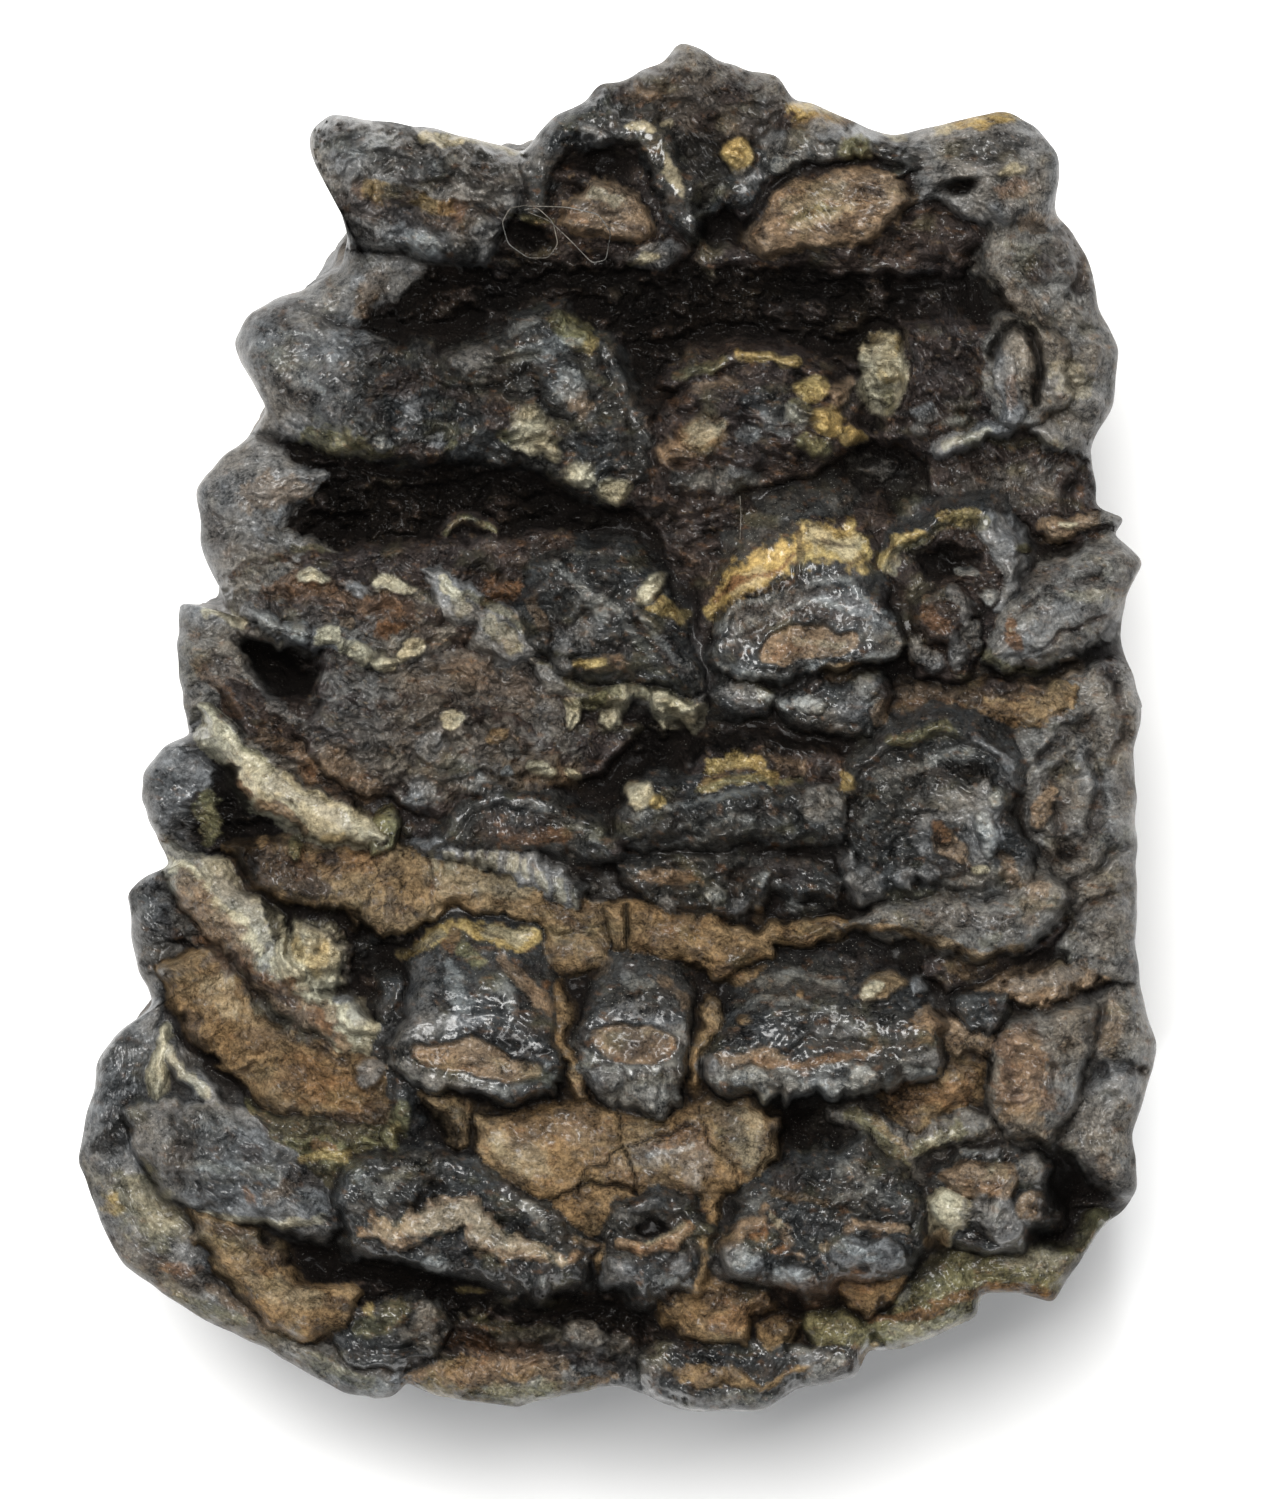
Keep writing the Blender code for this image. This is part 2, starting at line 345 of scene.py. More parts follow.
    def slab(self, corners, z, tissue="tan", tilt_x=0.0, tilt_y=0.0, edge=0.5, cracks=0.0, seed=31):
        """A broken plate of cement: flat inside its corners, rounded and steep at the edge.

        The tilts are in millimetres a pixel about the corners' middle.
        """
        at, ring, middle = self.within(corners, 30.0)
        px = self.bent_x[at] + 3.0 * rough(self.x[at] / 20.0, self.y[at] / 20.0, seed, 3)
        py = self.bent_y[at] + 3.0 * rough(self.x[at] / 20.0, self.y[at] / 20.0, seed + 1, 3)
        deep = depth_inside(ring, px, py)
        top = z + tilt_x * (px - middle[0]) + tilt_y * (py - middle[1])
        top = top - 0.9 * (1.0 - smooth(0.0, 12.0, deep)) + edge * np.minimum(deep, 0.0)
        if cracks > 0.0:
            wide_x = px + 9.0 * waves(px / 22.0, py / 22.0, seed + 4)
            first, second = grains(wide_x / (1.9 * cracks), (py + 0.4 * wide_x) / (1.5 * cracks), seed + 2)
            gap = 1.0 - smooth(0.0, 1.2 / cracks, second - first)
            gap = gap * smooth(-0.2, 0.5, waves(px / 40.0, py / 40.0, seed + 6))
            top = top - 0.4 * gap + 0.5 * rough(px / 26.0, py / 20.0, seed + 7, 4)
        part = self.rise(at, top, 0.15)
        self.lay(at, tissue, part)
        if cracks > 0.0:
            self.lay(at, "umber", part * gap * 0.6)

    def mound(self, corners, z, tissue="enamel", dome=3.0, tilt_x=0.0, tilt_y=0.0, lumps=0.4, edge=0.4,
              soft=40.0, seed=131):
        """A broken mass: z at its corners, swelling inwards by dome over soft pixels, and lumpy all over.

        The tilts are in millimetres a pixel about the corners' middle.
        """
        at, ring, middle = self.within(corners, 40.0)
        px = self.bent_x[at]
        py = self.bent_y[at]
        deep = depth_inside(ring, px, py) + 3.6 * rough(px / 30.0, py / 26.0, seed, 4, 0.6)
        top = z + tilt_x * (px - middle[0]) + tilt_y * (py - middle[1])
        swell = np.sqrt(1.0 - (1.0 - np.clip(deep / soft, 0.0, 1.0)) ** 2)
        top = top + dome * swell + edge * np.minimum(deep, 0.0)
        first, second = grains(px / 19.0 + 0.4 * waves(px / 15.0, py / 15.0, seed + 1), py / 15.0, seed + 2)
        knobs = lumps * (1.3 * rough(px / 30.0, py / 20.0, seed + 3, 5, 0.6) + 0.9 * (second - first) - 0.4)
        top = top + knobs * smooth(0.0, 14.0, deep)
        part = self.rise(at, top, 0.2)
        self.lay(at, tissue, part)

    def knob(self, x, y, rx, ry, h, tissue=None, turn=0.0, soft=0.0):
        """A bead or boss: half an ellipsoid of height h set on what is there, or a soft swelling."""
        at, u, v = self.about(x, y, rx, ry, turn, 1.3 * max(rx, ry) + 4.0)
        small = min(1.0, 10.0 / min(rx, ry))
        ragged = waves(self.x[at] / 9.0, self.y[at] / 9.0, 41)
        ragged += 0.6 * waves(self.x[at] / 4.5, self.y[at] / 4.5, 42)
        full = np.clip(1.0 - u * u - v * v + 0.30 * small * ragged, 0.0, 1.0)
        self.z[at] += h * ((1.0 - soft) * np.sqrt(full) + soft * full * full) * (0.9 + 0.2 * small * ragged)
        if tissue:
            self.lay(at, tissue, 0.9 * smooth(0.0, 0.55 + soft, full))

    def pit(self, x, y, rx, ry, depth, turn=0.0, tissue=None):
        """A hollow with a rounded lip: depth at its middle."""
        at, u, v = self.about(x, y, rx, ry, turn, max(rx, ry) + 4.0)
        full = smooth(0.0, 0.6, 1.0 - np.hypot(u, v))
        self.z[at] -= depth * full
        # Given the near-black pit tissue, the hollow also gets painted shade
        if tissue:
            self.lay(at, tissue, full)

    def stain(self, x, y, rx, ry, tissue, turn=0.0, strength=1.0, patchy=0.35, seed=71):
        """A patch of colour with a ragged edge."""
        at, u, v = self.about(x, y, rx, ry, turn, 1.4 * max(rx, ry) + 4.0)
        ragged = patchy * rough(self.x[at] / 16.0, self.y[at] / 12.0, seed, 3)
        self.lay(at, tissue, strength * smooth(0.0, 0.35, 1.0 - np.hypot(u, v) + ragged))

    def knobs(self, bosses):
        """Several knobs, each given as knob takes it."""
        for boss in bosses:
            self.knob(*boss)

    def paint(self, bands, seed=72):
        """Ragged bands of colour: each is a tissue, its strength and a line of (x, y, half width)."""
        for tissue, strength, points in bands:
            line = np.array(points, dtype=float)
            at = self.around(line, 2.0 * line[:, 2].max() + 6.0)
            ragged = 0.5 * rough(self.x[at] / 13.0, self.y[at] / 11.0, seed, 3)
            best, (wide,), _ = nearest_on(line, self.bent_x[at], self.bent_y[at])
            self.lay(at, tissue, strength * smooth(-0.25, 0.30, 1.0 - best / wide + ragged))

    def crack(self, points, depth=0.6, width=2.2, tissue="pit", strength=0.8):
        """A narrow groove along a line."""
        line = np.array(points, dtype=float)
        at = self.around(line, width + 8.0)
        full = 1.0 - smooth(0.0, width, nearest_on(line, self.bent_x[at], self.bent_y[at])[0])
        self.z[at] -= depth * full
        self.lay(at, tissue, strength * full)

    def furrows(self, lines, depth, width):
        """Soft dark furrows along lines."""
        for line in lines:
            self.crack(line, depth, width, "umber", 0.6)

    def stains(self, patches):
        """Several stains, each given as stain takes it."""
        for patch in patches:
            self.stain(*patch)

    def pits(self, hollows):
        """Several pits, each given as pit takes it."""
        for hollow in hollows:
            self.pit(*hollow)

    def ridges(self, crests):
        """Several ridges, each given as ridge takes it."""
        for crest in crests:
            self.ridge(*crest)

    def cracks(self, grooves):
        """Several cracks, each given as crack takes it."""
        for groove in grooves:
            self.crack(*groove)


# The valley floors: their height in the middle, and how far they fall to the sides and to the ends
FLOOR_MM = 45.8
FALL_ACROSS_MM, HALF_WIDTH_PX = 9.0, 540.0
FALL_ALONG_MM, HALF_LENGTH_PX = 3.0, 690.0


def lay_floor(face):
    """The valley floors: a shallow dome, lower towards the outline, near-black between the plates, partly
    dark cement and partly painted shade.

    Along the outline the side walls show from above as worn grey.
    """
    across = np.abs(face.x - MIDDLE_X) / HALF_WIDTH_PX
    along = np.abs(face.y - MIDDLE_Y) / HALF_LENGTH_PX
    face.dome = FLOOR_MM - FALL_ACROSS_MM * across ** 2.3 - FALL_ALONG_MM * along ** 4
    rubble = rough(face.x / 48.0, face.y / 27.0, 21, 5, 0.6)
    first = grains(face.x / 17.0 + 0.4 * rubble, face.y / 13.0, 29)[0]
    face.z += face.dome + 1.5 * rubble + 1.3 * (0.5 - first)
    # Near-black pit over the floor, less on the rubble's tops: painted shade in the valleys, partly dark
    # cement
    face.lay(slice(None), "pit", 0.97 - 0.50 * smooth(0.15, 1.0, rubble + 0.7 * (0.5 - first)))
    ring = np.array(OUTLINE) * np.array([PIXELS_PER_MM, -PIXELS_PER_MM]) + np.array([MIDDLE_X, MIDDLE_Y])
    inside = depth_inside(ring, face.x, face.y) + 9.0 * waves(face.x / 30.0, face.y / 30.0, 25)
    rim = 1.0 - smooth(14.0, 44.0, inside)
    face.lay(slice(None), "worn", 0.85 * rim)
    face.lay(slice(None), "umber", 0.40 * rim * smooth(-0.2, 0.6, waves(face.x / 26.0, face.y / 20.0, 27)))


def row_stump(face):
    """The stump of the last plate at the very back: dark lumpy rock."""
    face.mound([(575, 112), (588, 66), (642, 58), (664, 40), (690, 18), (720, 36), (745, 55), (795, 60),
        (808, 98), (800, 135), (770, 195), (700, 205), (655, 175), (640, 130), (592, 122)], 46.4,
        "wall", 2.6, lumps=0.6)
    face.knobs([(690, 62, 26, 20, 1, "wall"), (606, 94, 24, 16, 1.4, "umber"),
        (648, 96, 18, 9, 0.8, "dentine"), (735, 92, 20, 16, 1, "umber"), (770, 90, 18, 14, 1, "wall"),
        (712, 120, 18, 14, 1, "umber")])
    face.paint([("umber", 0.6, [(640, 100, 30), (700, 110, 40), (770, 120, 30)]),
        ("pit", 0.9, [(660, 150, 12), (705, 165, 36), (760, 150, 10)]), ("dentine", 0.5, [(640, 90, 6),
        (662, 90, 6)]), ("umber", 0.5, [(720, 60, 6), (745, 75, 8)]), ("pit", 0.6, [(668, 78, 3),
        (660, 110, 4)]), ("cream", 0.6, [(640, 120, 4), (672, 124, 4)])])


def row_one(face):
    """The first plate: a long prong at the left, a broken arch, a lens of dentine and a round loop."""
    face.mound([(280, 130), (300, 92), (350, 96), (400, 106), (460, 120), (520, 138), (530, 175),
        (512, 225), (498, 256), (440, 262), (400, 250), (330, 250), (310, 200), (290, 165)], 45.5,
        "worn", 5.2, 0.016, 0.01, lumps=0.8, soft=60)
    face.paint([("enamel", 0.45, [(310, 115, 20), (380, 140, 26), (470, 170, 24)]),
        ("cream", 0.85, [(425, 136, 6), (460, 142, 7)]), ("cream", 0.6, [(460, 138, 4), (520, 150, 4)]),
        ("umber", 0.75, [(345, 200, 12), (420, 212, 16), (495, 218, 14)]), ("rust", 0.4, [(362, 188, 9),
        (382, 192, 9)]), ("amber", 0.35, [(370, 188, 7), (448, 210, 8)]),
        ("enamel", 0.5, [(320, 130, 14), (360, 150, 16), (420, 165, 16)]), ("rust", 0.4, [(440, 208, 9),
        (462, 212, 9)]), ("pit", 0.8, [(352, 222, 8), (372, 232, 7)]), ("pearl", 0.5, [(440, 165, 6),
        (455, 162, 5)]), ("pearl", 0.4, [(352, 155, 6), (366, 158, 5)]), ("umber", 0.4, [(400, 178, 5),
        (440, 184, 5)]), ("umber", 0.5, [(480, 170, 8), (505, 180, 8)])])
    face.knobs([(330, 125, 24, 16, 0.8, "enamel", 20), (380, 150, 26, 16, 0.9, "enamel"),
        (440, 168, 22, 14, 0.9, "enamel"), (490, 160, 18, 16, 0.9, "enamel"),
        (345, 172, 20, 14, 0.8, "worn"), (402, 195, 20, 12, 0.7, "umber")])
    # Pale glossy dabs on the prong's lumps, here and in the bands just above: painted glints
    face.paint([("pearl", 0.6, [(438, 164, 6), (452, 160, 5)]), ("pearl", 0.5, [(355, 158, 5),
        (395, 140, 5)]), ("pit", 0.6, [(370, 120, 3), (405, 128, 4), (470, 185, 5), (500, 185, 5)])])
    face.knobs([(422, 246, 22, 16, 1.2, "pearl"), (462, 250, 26, 15, 1.4, "enamel"),
        (490, 232, 14, 16, 1.1, "worn")])
    face.mound([(532, 130), (556, 94), (605, 90), (650, 108), (690, 160), (700, 215), (690, 255),
        (660, 278), (625, 268), (600, 255), (540, 262), (505, 250), (500, 200), (520, 160)], 45.5,
        "umber", 3, lumps=0.7)
    face.ridge([(536, 200, 50.6, 10), (540, 160, 52, 15), (560, 130, 52.6, 16), (602, 120, 52.6, 13),
        (640, 130, 52.4, 12), (662, 158, 52.2, 13), (680, 192, 51.6, 14), (690, 225, 50.5, 9)],
        "enamel", 0.22, 0.35)
    face.stain(640, 125, 22, 8, "cream", 10, 0.8)
    face.knob(594, 139, 18, 12, 0.8, "worn", 20)
    face.pit(606, 165, 46, 18, 2.6, 6, "pit")
    face.mound([(566, 215), (575, 192), (595, 182), (622, 186), (644, 205), (650, 228), (630, 242),
        (598, 232), (575, 228)], 49.8, "dentine", 1.4, lumps=0.5, soft=14)
    face.paint([("rust", 0.45, [(576, 208, 6), (590, 214, 5)]), ("cream", 0.4, [(592, 190, 5),
        (618, 196, 5)]), ("umber", 0.6, [(580, 222, 3), (612, 218, 3), (640, 228, 3)]),
        ("umber", 0.5, [(598, 204, 3), (630, 208, 3)])])
    face.stain(536, 150, 16, 30, "worn", 20, 0.5)
    face.pit(534, 240, 30, 22, 2.4, 0, "pit")
    face.stain(532, 215, 28, 7, "olive", 6, 0.7)
    face.knob(652, 257, 32, 19, 2, "worn", -14)
    face.stains([(640, 262, 18, 10, "cream", -10, 0.8), (676, 176, 12, 20, "cream", -40, 0.6)])
    face.mound([(758, 130), (790, 88), (840, 86), (905, 118), (915, 170), (905, 235), (860, 265),
        (790, 262), (745, 245), (735, 190)], 46.5, "umber", 3.4, lumps=0.6)
    face.ridge([(738, 190, 50, 12), (758, 170, 50.6, 12), (790, 155, 51.4, 12), (830, 145, 51.8, 12),
        (872, 145, 51.4, 10), (900, 165, 50.6, 9)], "enamel", 0.16, 0.4)
    face.paint([("wall", 0.7, [(775, 150, 12), (820, 135, 16), (880, 140, 12)]),
        ("amber", 0.85, [(795, 112, 9), (835, 110, 10)]), ("tan", 0.6, [(800, 125, 7), (850, 118, 7)]),
        ("cream", 0.6, [(880, 128, 6), (905, 138, 5)])])
    face.knobs([(736, 158, 17, 22, 1.8, "amber", 14), (775, 140, 18, 14, 1.2, "worn"),
        (822, 128, 22, 12, 1, "worn"), (868, 135, 20, 12, 1, "enamel", 10)])
    face.stain(740, 176, 16, 12, "worn", 0, 0.8)
    face.knobs([(784, 166, 18, 12, 0.9, "pearl", -10), (852, 148, 22, 14, 0.8, "olive")])
    face.mound([(748, 232), (762, 202), (796, 178), (850, 166), (892, 174), (910, 196), (898, 222),
        (862, 240), (802, 252), (768, 248)], 50.4, "dentine", 1.6, soft=26, lumps=0.15)
    face.paint([("cream", 0.35, [(790, 206, 9), (840, 192, 10)]), ("cream", 0.3, [(800, 226, 8),
        (850, 212, 8)]), ("umber", 0.45, [(765, 212, 2), (805, 196, 2), (870, 178, 2)]),
        ("umber", 0.4, [(770, 224, 2), (815, 214, 2), (880, 196, 2)]), ("olive", 0.7, [(802, 214, 5),
        (826, 208, 5)]), ("umber", 0.5, [(785, 238, 3), (840, 230, 3), (884, 206, 3)])])
    face.crack([(744, 226), (756, 198), (796, 170), (850, 158), (900, 168)], 1.4, 6)
    face.paint([("umber", 0.5, [(800, 205, 3), (850, 192, 4), (880, 200, 3)]),
        ("olive", 0.5, [(790, 222, 4), (840, 212, 5)])])
    face.pit(722, 230, 32, 24, 2.6, 0, "pit")
    face.mound([(902, 145), (925, 108), (975, 94), (1030, 92), (1066, 115), (1085, 152), (1078, 205),
        (1048, 236), (1000, 225), (960, 220), (915, 200)], 46.6, "worn", 4, lumps=0.5)
    face.stains([(985, 119, 46, 9, "amber", -4, 0.9), (945, 128, 18, 8, "cream", -14, 0.8),
        (985, 148, 52, 18, "enamel", 0, 0.7)])
    face.knob(1012, 172, 17, 8, 0.8, "cream", -12, 0.4)
    face.stains([(1018, 188, 24, 8, "rust", -10, 0.5), (1042, 180, 14, 32, "wall", 8, 0.7)])
    face.pit(958, 186, 34, 13, 1.6, -20, "pit")
    face.knob(985, 212, 28, 17, 1.4, "worn", -10)
    face.stain(1035, 222, 24, 14, "dentine", 0, 0.6)
    face.mound([(905, 170), (935, 180), (950, 215), (990, 240), (960, 262), (905, 262), (870, 250),
        (890, 215)], 46, "umber", 2.4, lumps=0.7)
    face.ridge([(700, 258, 46.4, 8), (790, 258, 47, 9), (880, 258, 47, 9), (960, 264, 46.4, 8)],
        "umber", 0.3, 0.4)
    face.paint([("worn", 0.5, [(340, 142, 13), (395, 150, 12)]), ("pearl", 0.3, [(352, 134, 8),
        (388, 146, 8)])])


def row_two(face):
    """The second plate: a smooth nose at the left, glossy lumps, a broken arch, an egg and a hook."""
    face.mound([(305, 225), (360, 238), (420, 254), (445, 262), (400, 298), (352, 340), (290, 335),
        (250, 300), (300, 270)], 43.6, "worn", 2, lumps=0.12, soft=50)
    face.mound([(205, 335), (218, 292), (285, 276), (335, 320), (400, 345), (445, 375), (460, 455),
        (390, 462), (320, 450), (270, 440), (230, 430), (215, 380)], 43.4, "worn", 6, 0.03, 0.006,
        lumps=0.15, soft=80)
    face.paint([("enamel", 0.55, [(240, 300, 16), (285, 300, 18), (330, 320, 16)]),
        ("enamel", 0.45, [(262, 370, 7), (300, 400, 9), (330, 425, 14)]),
        ("enamel", 0.4, [(350, 350, 18), (360, 390, 18)]), ("dentine", 0.5, [(375, 285, 10),
        (362, 312, 8)]), ("pearl", 0.3, [(250, 340, 6), (285, 352, 6), (300, 385, 5)]),
        ("umber", 0.35, [(262, 320, 5), (300, 335, 5), (320, 370, 4)]), ("umber", 0.4, [(300, 400, 8),
        (340, 380, 8)]), ("wall", 0.5, [(375, 270, 14), (400, 285, 10)]),
        ("enamel", 0.4, [(250, 330, 30), (310, 370, 34), (340, 410, 26)]),
        ("wall", 0.6, [(345, 265, 16), (335, 290, 14)]), ("pearl", 0.5, [(262, 350, 2), (290, 362, 2),
        (322, 392, 2)]), ("pearl", 0.5, [(280, 330, 2), (312, 345, 2)])])
    face.mound([(350, 345), (430, 340), (470, 380), (470, 452), (400, 462), (350, 440), (335, 395)],
        48.4, "enamel", 3.4, 0, 0.008, lumps=0.9, soft=50)
    face.stains([(330, 438, 40, 14, "olive", 0, 0.8), (370, 448, 50, 10, "olive", 0, 0.6)])
    face.knobs([(385, 440, 14, 10, 0.8, "pearl"), (420, 452, 30, 12, 1, "umber"),
        (470, 448, 26, 12, 1, "olive", 6)])
    face.mound([(442, 348), (486, 334), (520, 308), (566, 302), (596, 334), (622, 385), (650, 440),
        (652, 486), (622, 508), (575, 490), (520, 468), (450, 458), (438, 400)], 48.2, "enamel", 5.6, 0,
        0.006, lumps=0.8, soft=70)
    face.knobs([(470, 372, 34, 22, 1.6, "enamel", -20), (520, 335, 38, 20, 1.7, "enamel", -25),
        (574, 330, 26, 18, 1.2, "olive", 35), (565, 395, 28, 25, 1.5, "enamel"),
        (500, 412, 26, 20, 1.3, "umber"), (606, 442, 18, 28, 1.3, "enamel", -20),
        (400, 385, 28, 20, 1.4, "umber"), (382, 418, 24, 16, 1.1, "enamel"),
        (352, 372, 22, 16, 1.1, "enamel"), (440, 400, 20, 22, 1.1, "enamel")])
    # The pale glossy dabs along the lumps' upper edges, and the pale glossy stains below, are painted glints
    face.paint([("pearl", 0.6, [(458, 362, 6), (484, 360, 6)]), ("pearl", 0.6, [(508, 330, 5),
        (540, 322, 6)]), ("dentine", 0.5, [(566, 385, 12), (585, 410, 10)]),
        ("olive", 0.7, [(560, 318, 9), (585, 334, 9)]), ("amber", 0.35, [(588, 340, 8)]),
        ("umber", 0.6, [(430, 370, 6), (445, 395, 7), (470, 405, 6)]), ("pit", 0.7, [(486, 392, 4),
        (530, 370, 4), (536, 400, 4)]), ("olive", 0.6, [(510, 432, 9), (548, 448, 9)])])
    face.knob(474, 360, 26, 18, 0.9, "worn", -10, 0.3)
    face.stains([(566, 384, 22, 18, "pearl", 10, 0.8), (540, 350, 50, 12, "pearl", -16, 0.5)])
    face.knobs([(530, 425, 20, 26, 1, "cream", -20, 0.4), (538, 452, 26, 8, 0.9, "cream", 14, 0.3),
        (580, 472, 24, 14, 1.1, "cream", 8, 0.3), (614, 494, 22, 14, 1.3, "cream", 12, 0.3)])
    face.ridge([(596, 340, 50.6, 5), (622, 390, 51.6, 7), (640, 440, 51.2, 8)], "enamel", 0.3, 0.35)
    face.mound([(604, 505), (640, 470), (652, 420), (690, 366), (745, 350), (800, 360), (852, 388),
        (866, 432), (832, 462), (790, 478), (745, 492), (700, 512), (650, 522)], 48, "umber", 4.4, 0,
        0.004, lumps=0.8, soft=60)
    face.ridge([(668, 385, 50.2, 3), (700, 366, 50.8, 4), (745, 358, 51.2, 4), (790, 362, 50.9, 4),
        (820, 372, 50.4, 3)], "umber", 0.35, 0.45)
    face.paint([("olive", 0.7, [(680, 374, 5), (720, 360, 6)]), ("amber", 0.6, [(740, 358, 5),
        (795, 362, 5)]), ("dentine", 0.5, [(700, 385, 8), (735, 382, 8)]),
        ("rust", 0.4, [(660, 400, 14), (680, 440, 12), (700, 480, 12)]),
        ("rust", 0.35, [(690, 392, 7)])])
    face.knobs([(720, 400, 26, 16, 1.2, "umber"), (660, 420, 24, 20, 1.2, "umber"),
        (765, 400, 24, 16, 1.2, "enamel"), (740, 465, 26, 16, 1.3, "umber"),
        (690, 478, 24, 16, 1.2, "enamel"), (785, 445, 22, 16, 1.2, "umber"),
        (704, 434, 30, 26, 0.9, "tan", 0, 0.3)])
    face.stain(704, 430, 22, 16, "cream", 0, 0.5)
    face.knob(672, 448, 22, 18, 0.8, "dentine", 0, 0.4)
    face.stains([(700, 460, 44, 12, "umber", 0, 0.6), (725, 480, 50, 12, "pearl", 0, 0.5),
        (752, 432, 18, 12, "pearl", 0, 0.6)])
    face.knobs([(812, 386, 21, 17, 1.6, "amber"), (842, 392, 15, 18, 1.5, "dentine"),
        (828, 420, 24, 18, 1.5, "amber"), (852, 436, 14, 12, 1.1, "amber"),
        (800, 412, 16, 14, 1.1, "olive"), (812, 446, 20, 12, 1, "olive")])
    face.paint([("umber", 0.5, [(826, 402, 5), (850, 412, 4)]), ("umber", 0.5, [(800, 398, 4),
        (812, 436, 5)])])
    face.stain(790, 420, 26, 18, "pearl", 0, 0.5)
    face.mound([(905, 325), (960, 318), (1000, 330), (1010, 400), (1000, 430), (930, 450), (870, 435),
        (905, 390)], 47.2, "umber", 2.2, lumps=0.9, soft=30)
    face.knob(882, 376, 28, 44, 3.6, "cream", 6)
    face.paint([("cream", 1, [(878, 352, 16), (886, 372, 18), (882, 396, 12)]),
        ("amber", 0.7, [(872, 344, 7), (892, 348, 7)]), ("olive", 0.7, [(880, 392, 6), (886, 406, 6)]),
        ("umber", 0.4, [(866, 356, 2), (880, 350, 2), (896, 358, 2)]), ("amber", 0.4, [(876, 372, 8)])])
    face.mound([(985, 335), (1005, 318), (1035, 315), (1062, 340), (1064, 400), (1040, 425),
        (1000, 430), (985, 400)], 48.6, "wall", 1.8, lumps=0.5, soft=20)
    face.ridge([(1000, 350, 50.6, 7), (1010, 378, 51.4, 11), (1014, 412, 51.4, 10)], "worn", 0.4, 0.4)
    face.crack([(992, 352), (1002, 330), (1018, 322), (1034, 334), (1040, 360), (1038, 402)], 2.4, 9)
    face.paint([("rust", 0.4, [(1012, 380, 6), (1014, 400, 6)])])
    face.knob(925, 415, 18, 12, 1.4, "worn")
    face.ridges([([(938, 450, 49, 3), (962, 444, 50, 7), (992, 434, 50.4, 7), (1004, 432, 50, 4)],
        "worn", 0.2, 0.5), ([(1032, 432, 48.4, 4), (1055, 442, 48.6, 8), (1088, 450, 47, 7)],
        "worn", 0.2, 0.5)])
    face.paint([("cream", 0.4, [(950, 446, 5), (990, 436, 5)]), ("wall", 0.5, [(1045, 440, 6),
        (1080, 446, 6)]), ("olive", 0.4, [(970, 446, 4), (1060, 446, 4)]),
        ("umber", 0.6, [(1020, 440, 6)])])
    face.knobs([(918, 432, 15, 9, 1, "worn"), (955, 420, 14, 8, 1, "wall", -20),
        (1060, 380, 22, 18, 1.2, "worn"), (1080, 405, 20, 16, 1.2, "worn"),
        (1085, 360, 16, 18, 1, "wall"), (1060, 300, 22, 16, 1.2, "wall"),
        (1040, 270, 20, 16, 1.2, "umber"), (1085, 310, 14, 18, 1.2, "wall"),
        (960, 385, 20, 14, 1.2, "umber"), (940, 345, 18, 14, 1, "umber")])
    # Near-black along the valley in front of this plate: painted shade, partly dark cement
    face.paint([("pit", 0.9, [(430, 478, 10), (520, 486, 12), (600, 520, 12)]),
        ("pit", 0.9, [(340, 500, 16), (330, 470, 8)]), ("wall", 0.5, [(860, 470, 12), (920, 490, 16),
        (900, 520, 12)])])
    face.ridge([(436, 560, 46.6, 3), (446, 534, 47.4, 4), (470, 520, 47.8, 4), (494, 530, 47.4, 4),
        (506, 560, 46.6, 3)], "umber", 0.35, 0.5)
    face.paint([("olive", 0.8, [(446, 534, 3), (470, 520, 4), (494, 530, 3)]),
        ("dentine", 0.4, [(455, 528, 4), (480, 524, 4)]), ("amber", 0.5, [(884, 352, 11),
        (888, 370, 10)]), ("cream", 0.8, [(879, 350, 11), (889, 364, 10)]),
        ("cream", 0.4, [(1062, 368, 12), (1078, 392, 12)])])


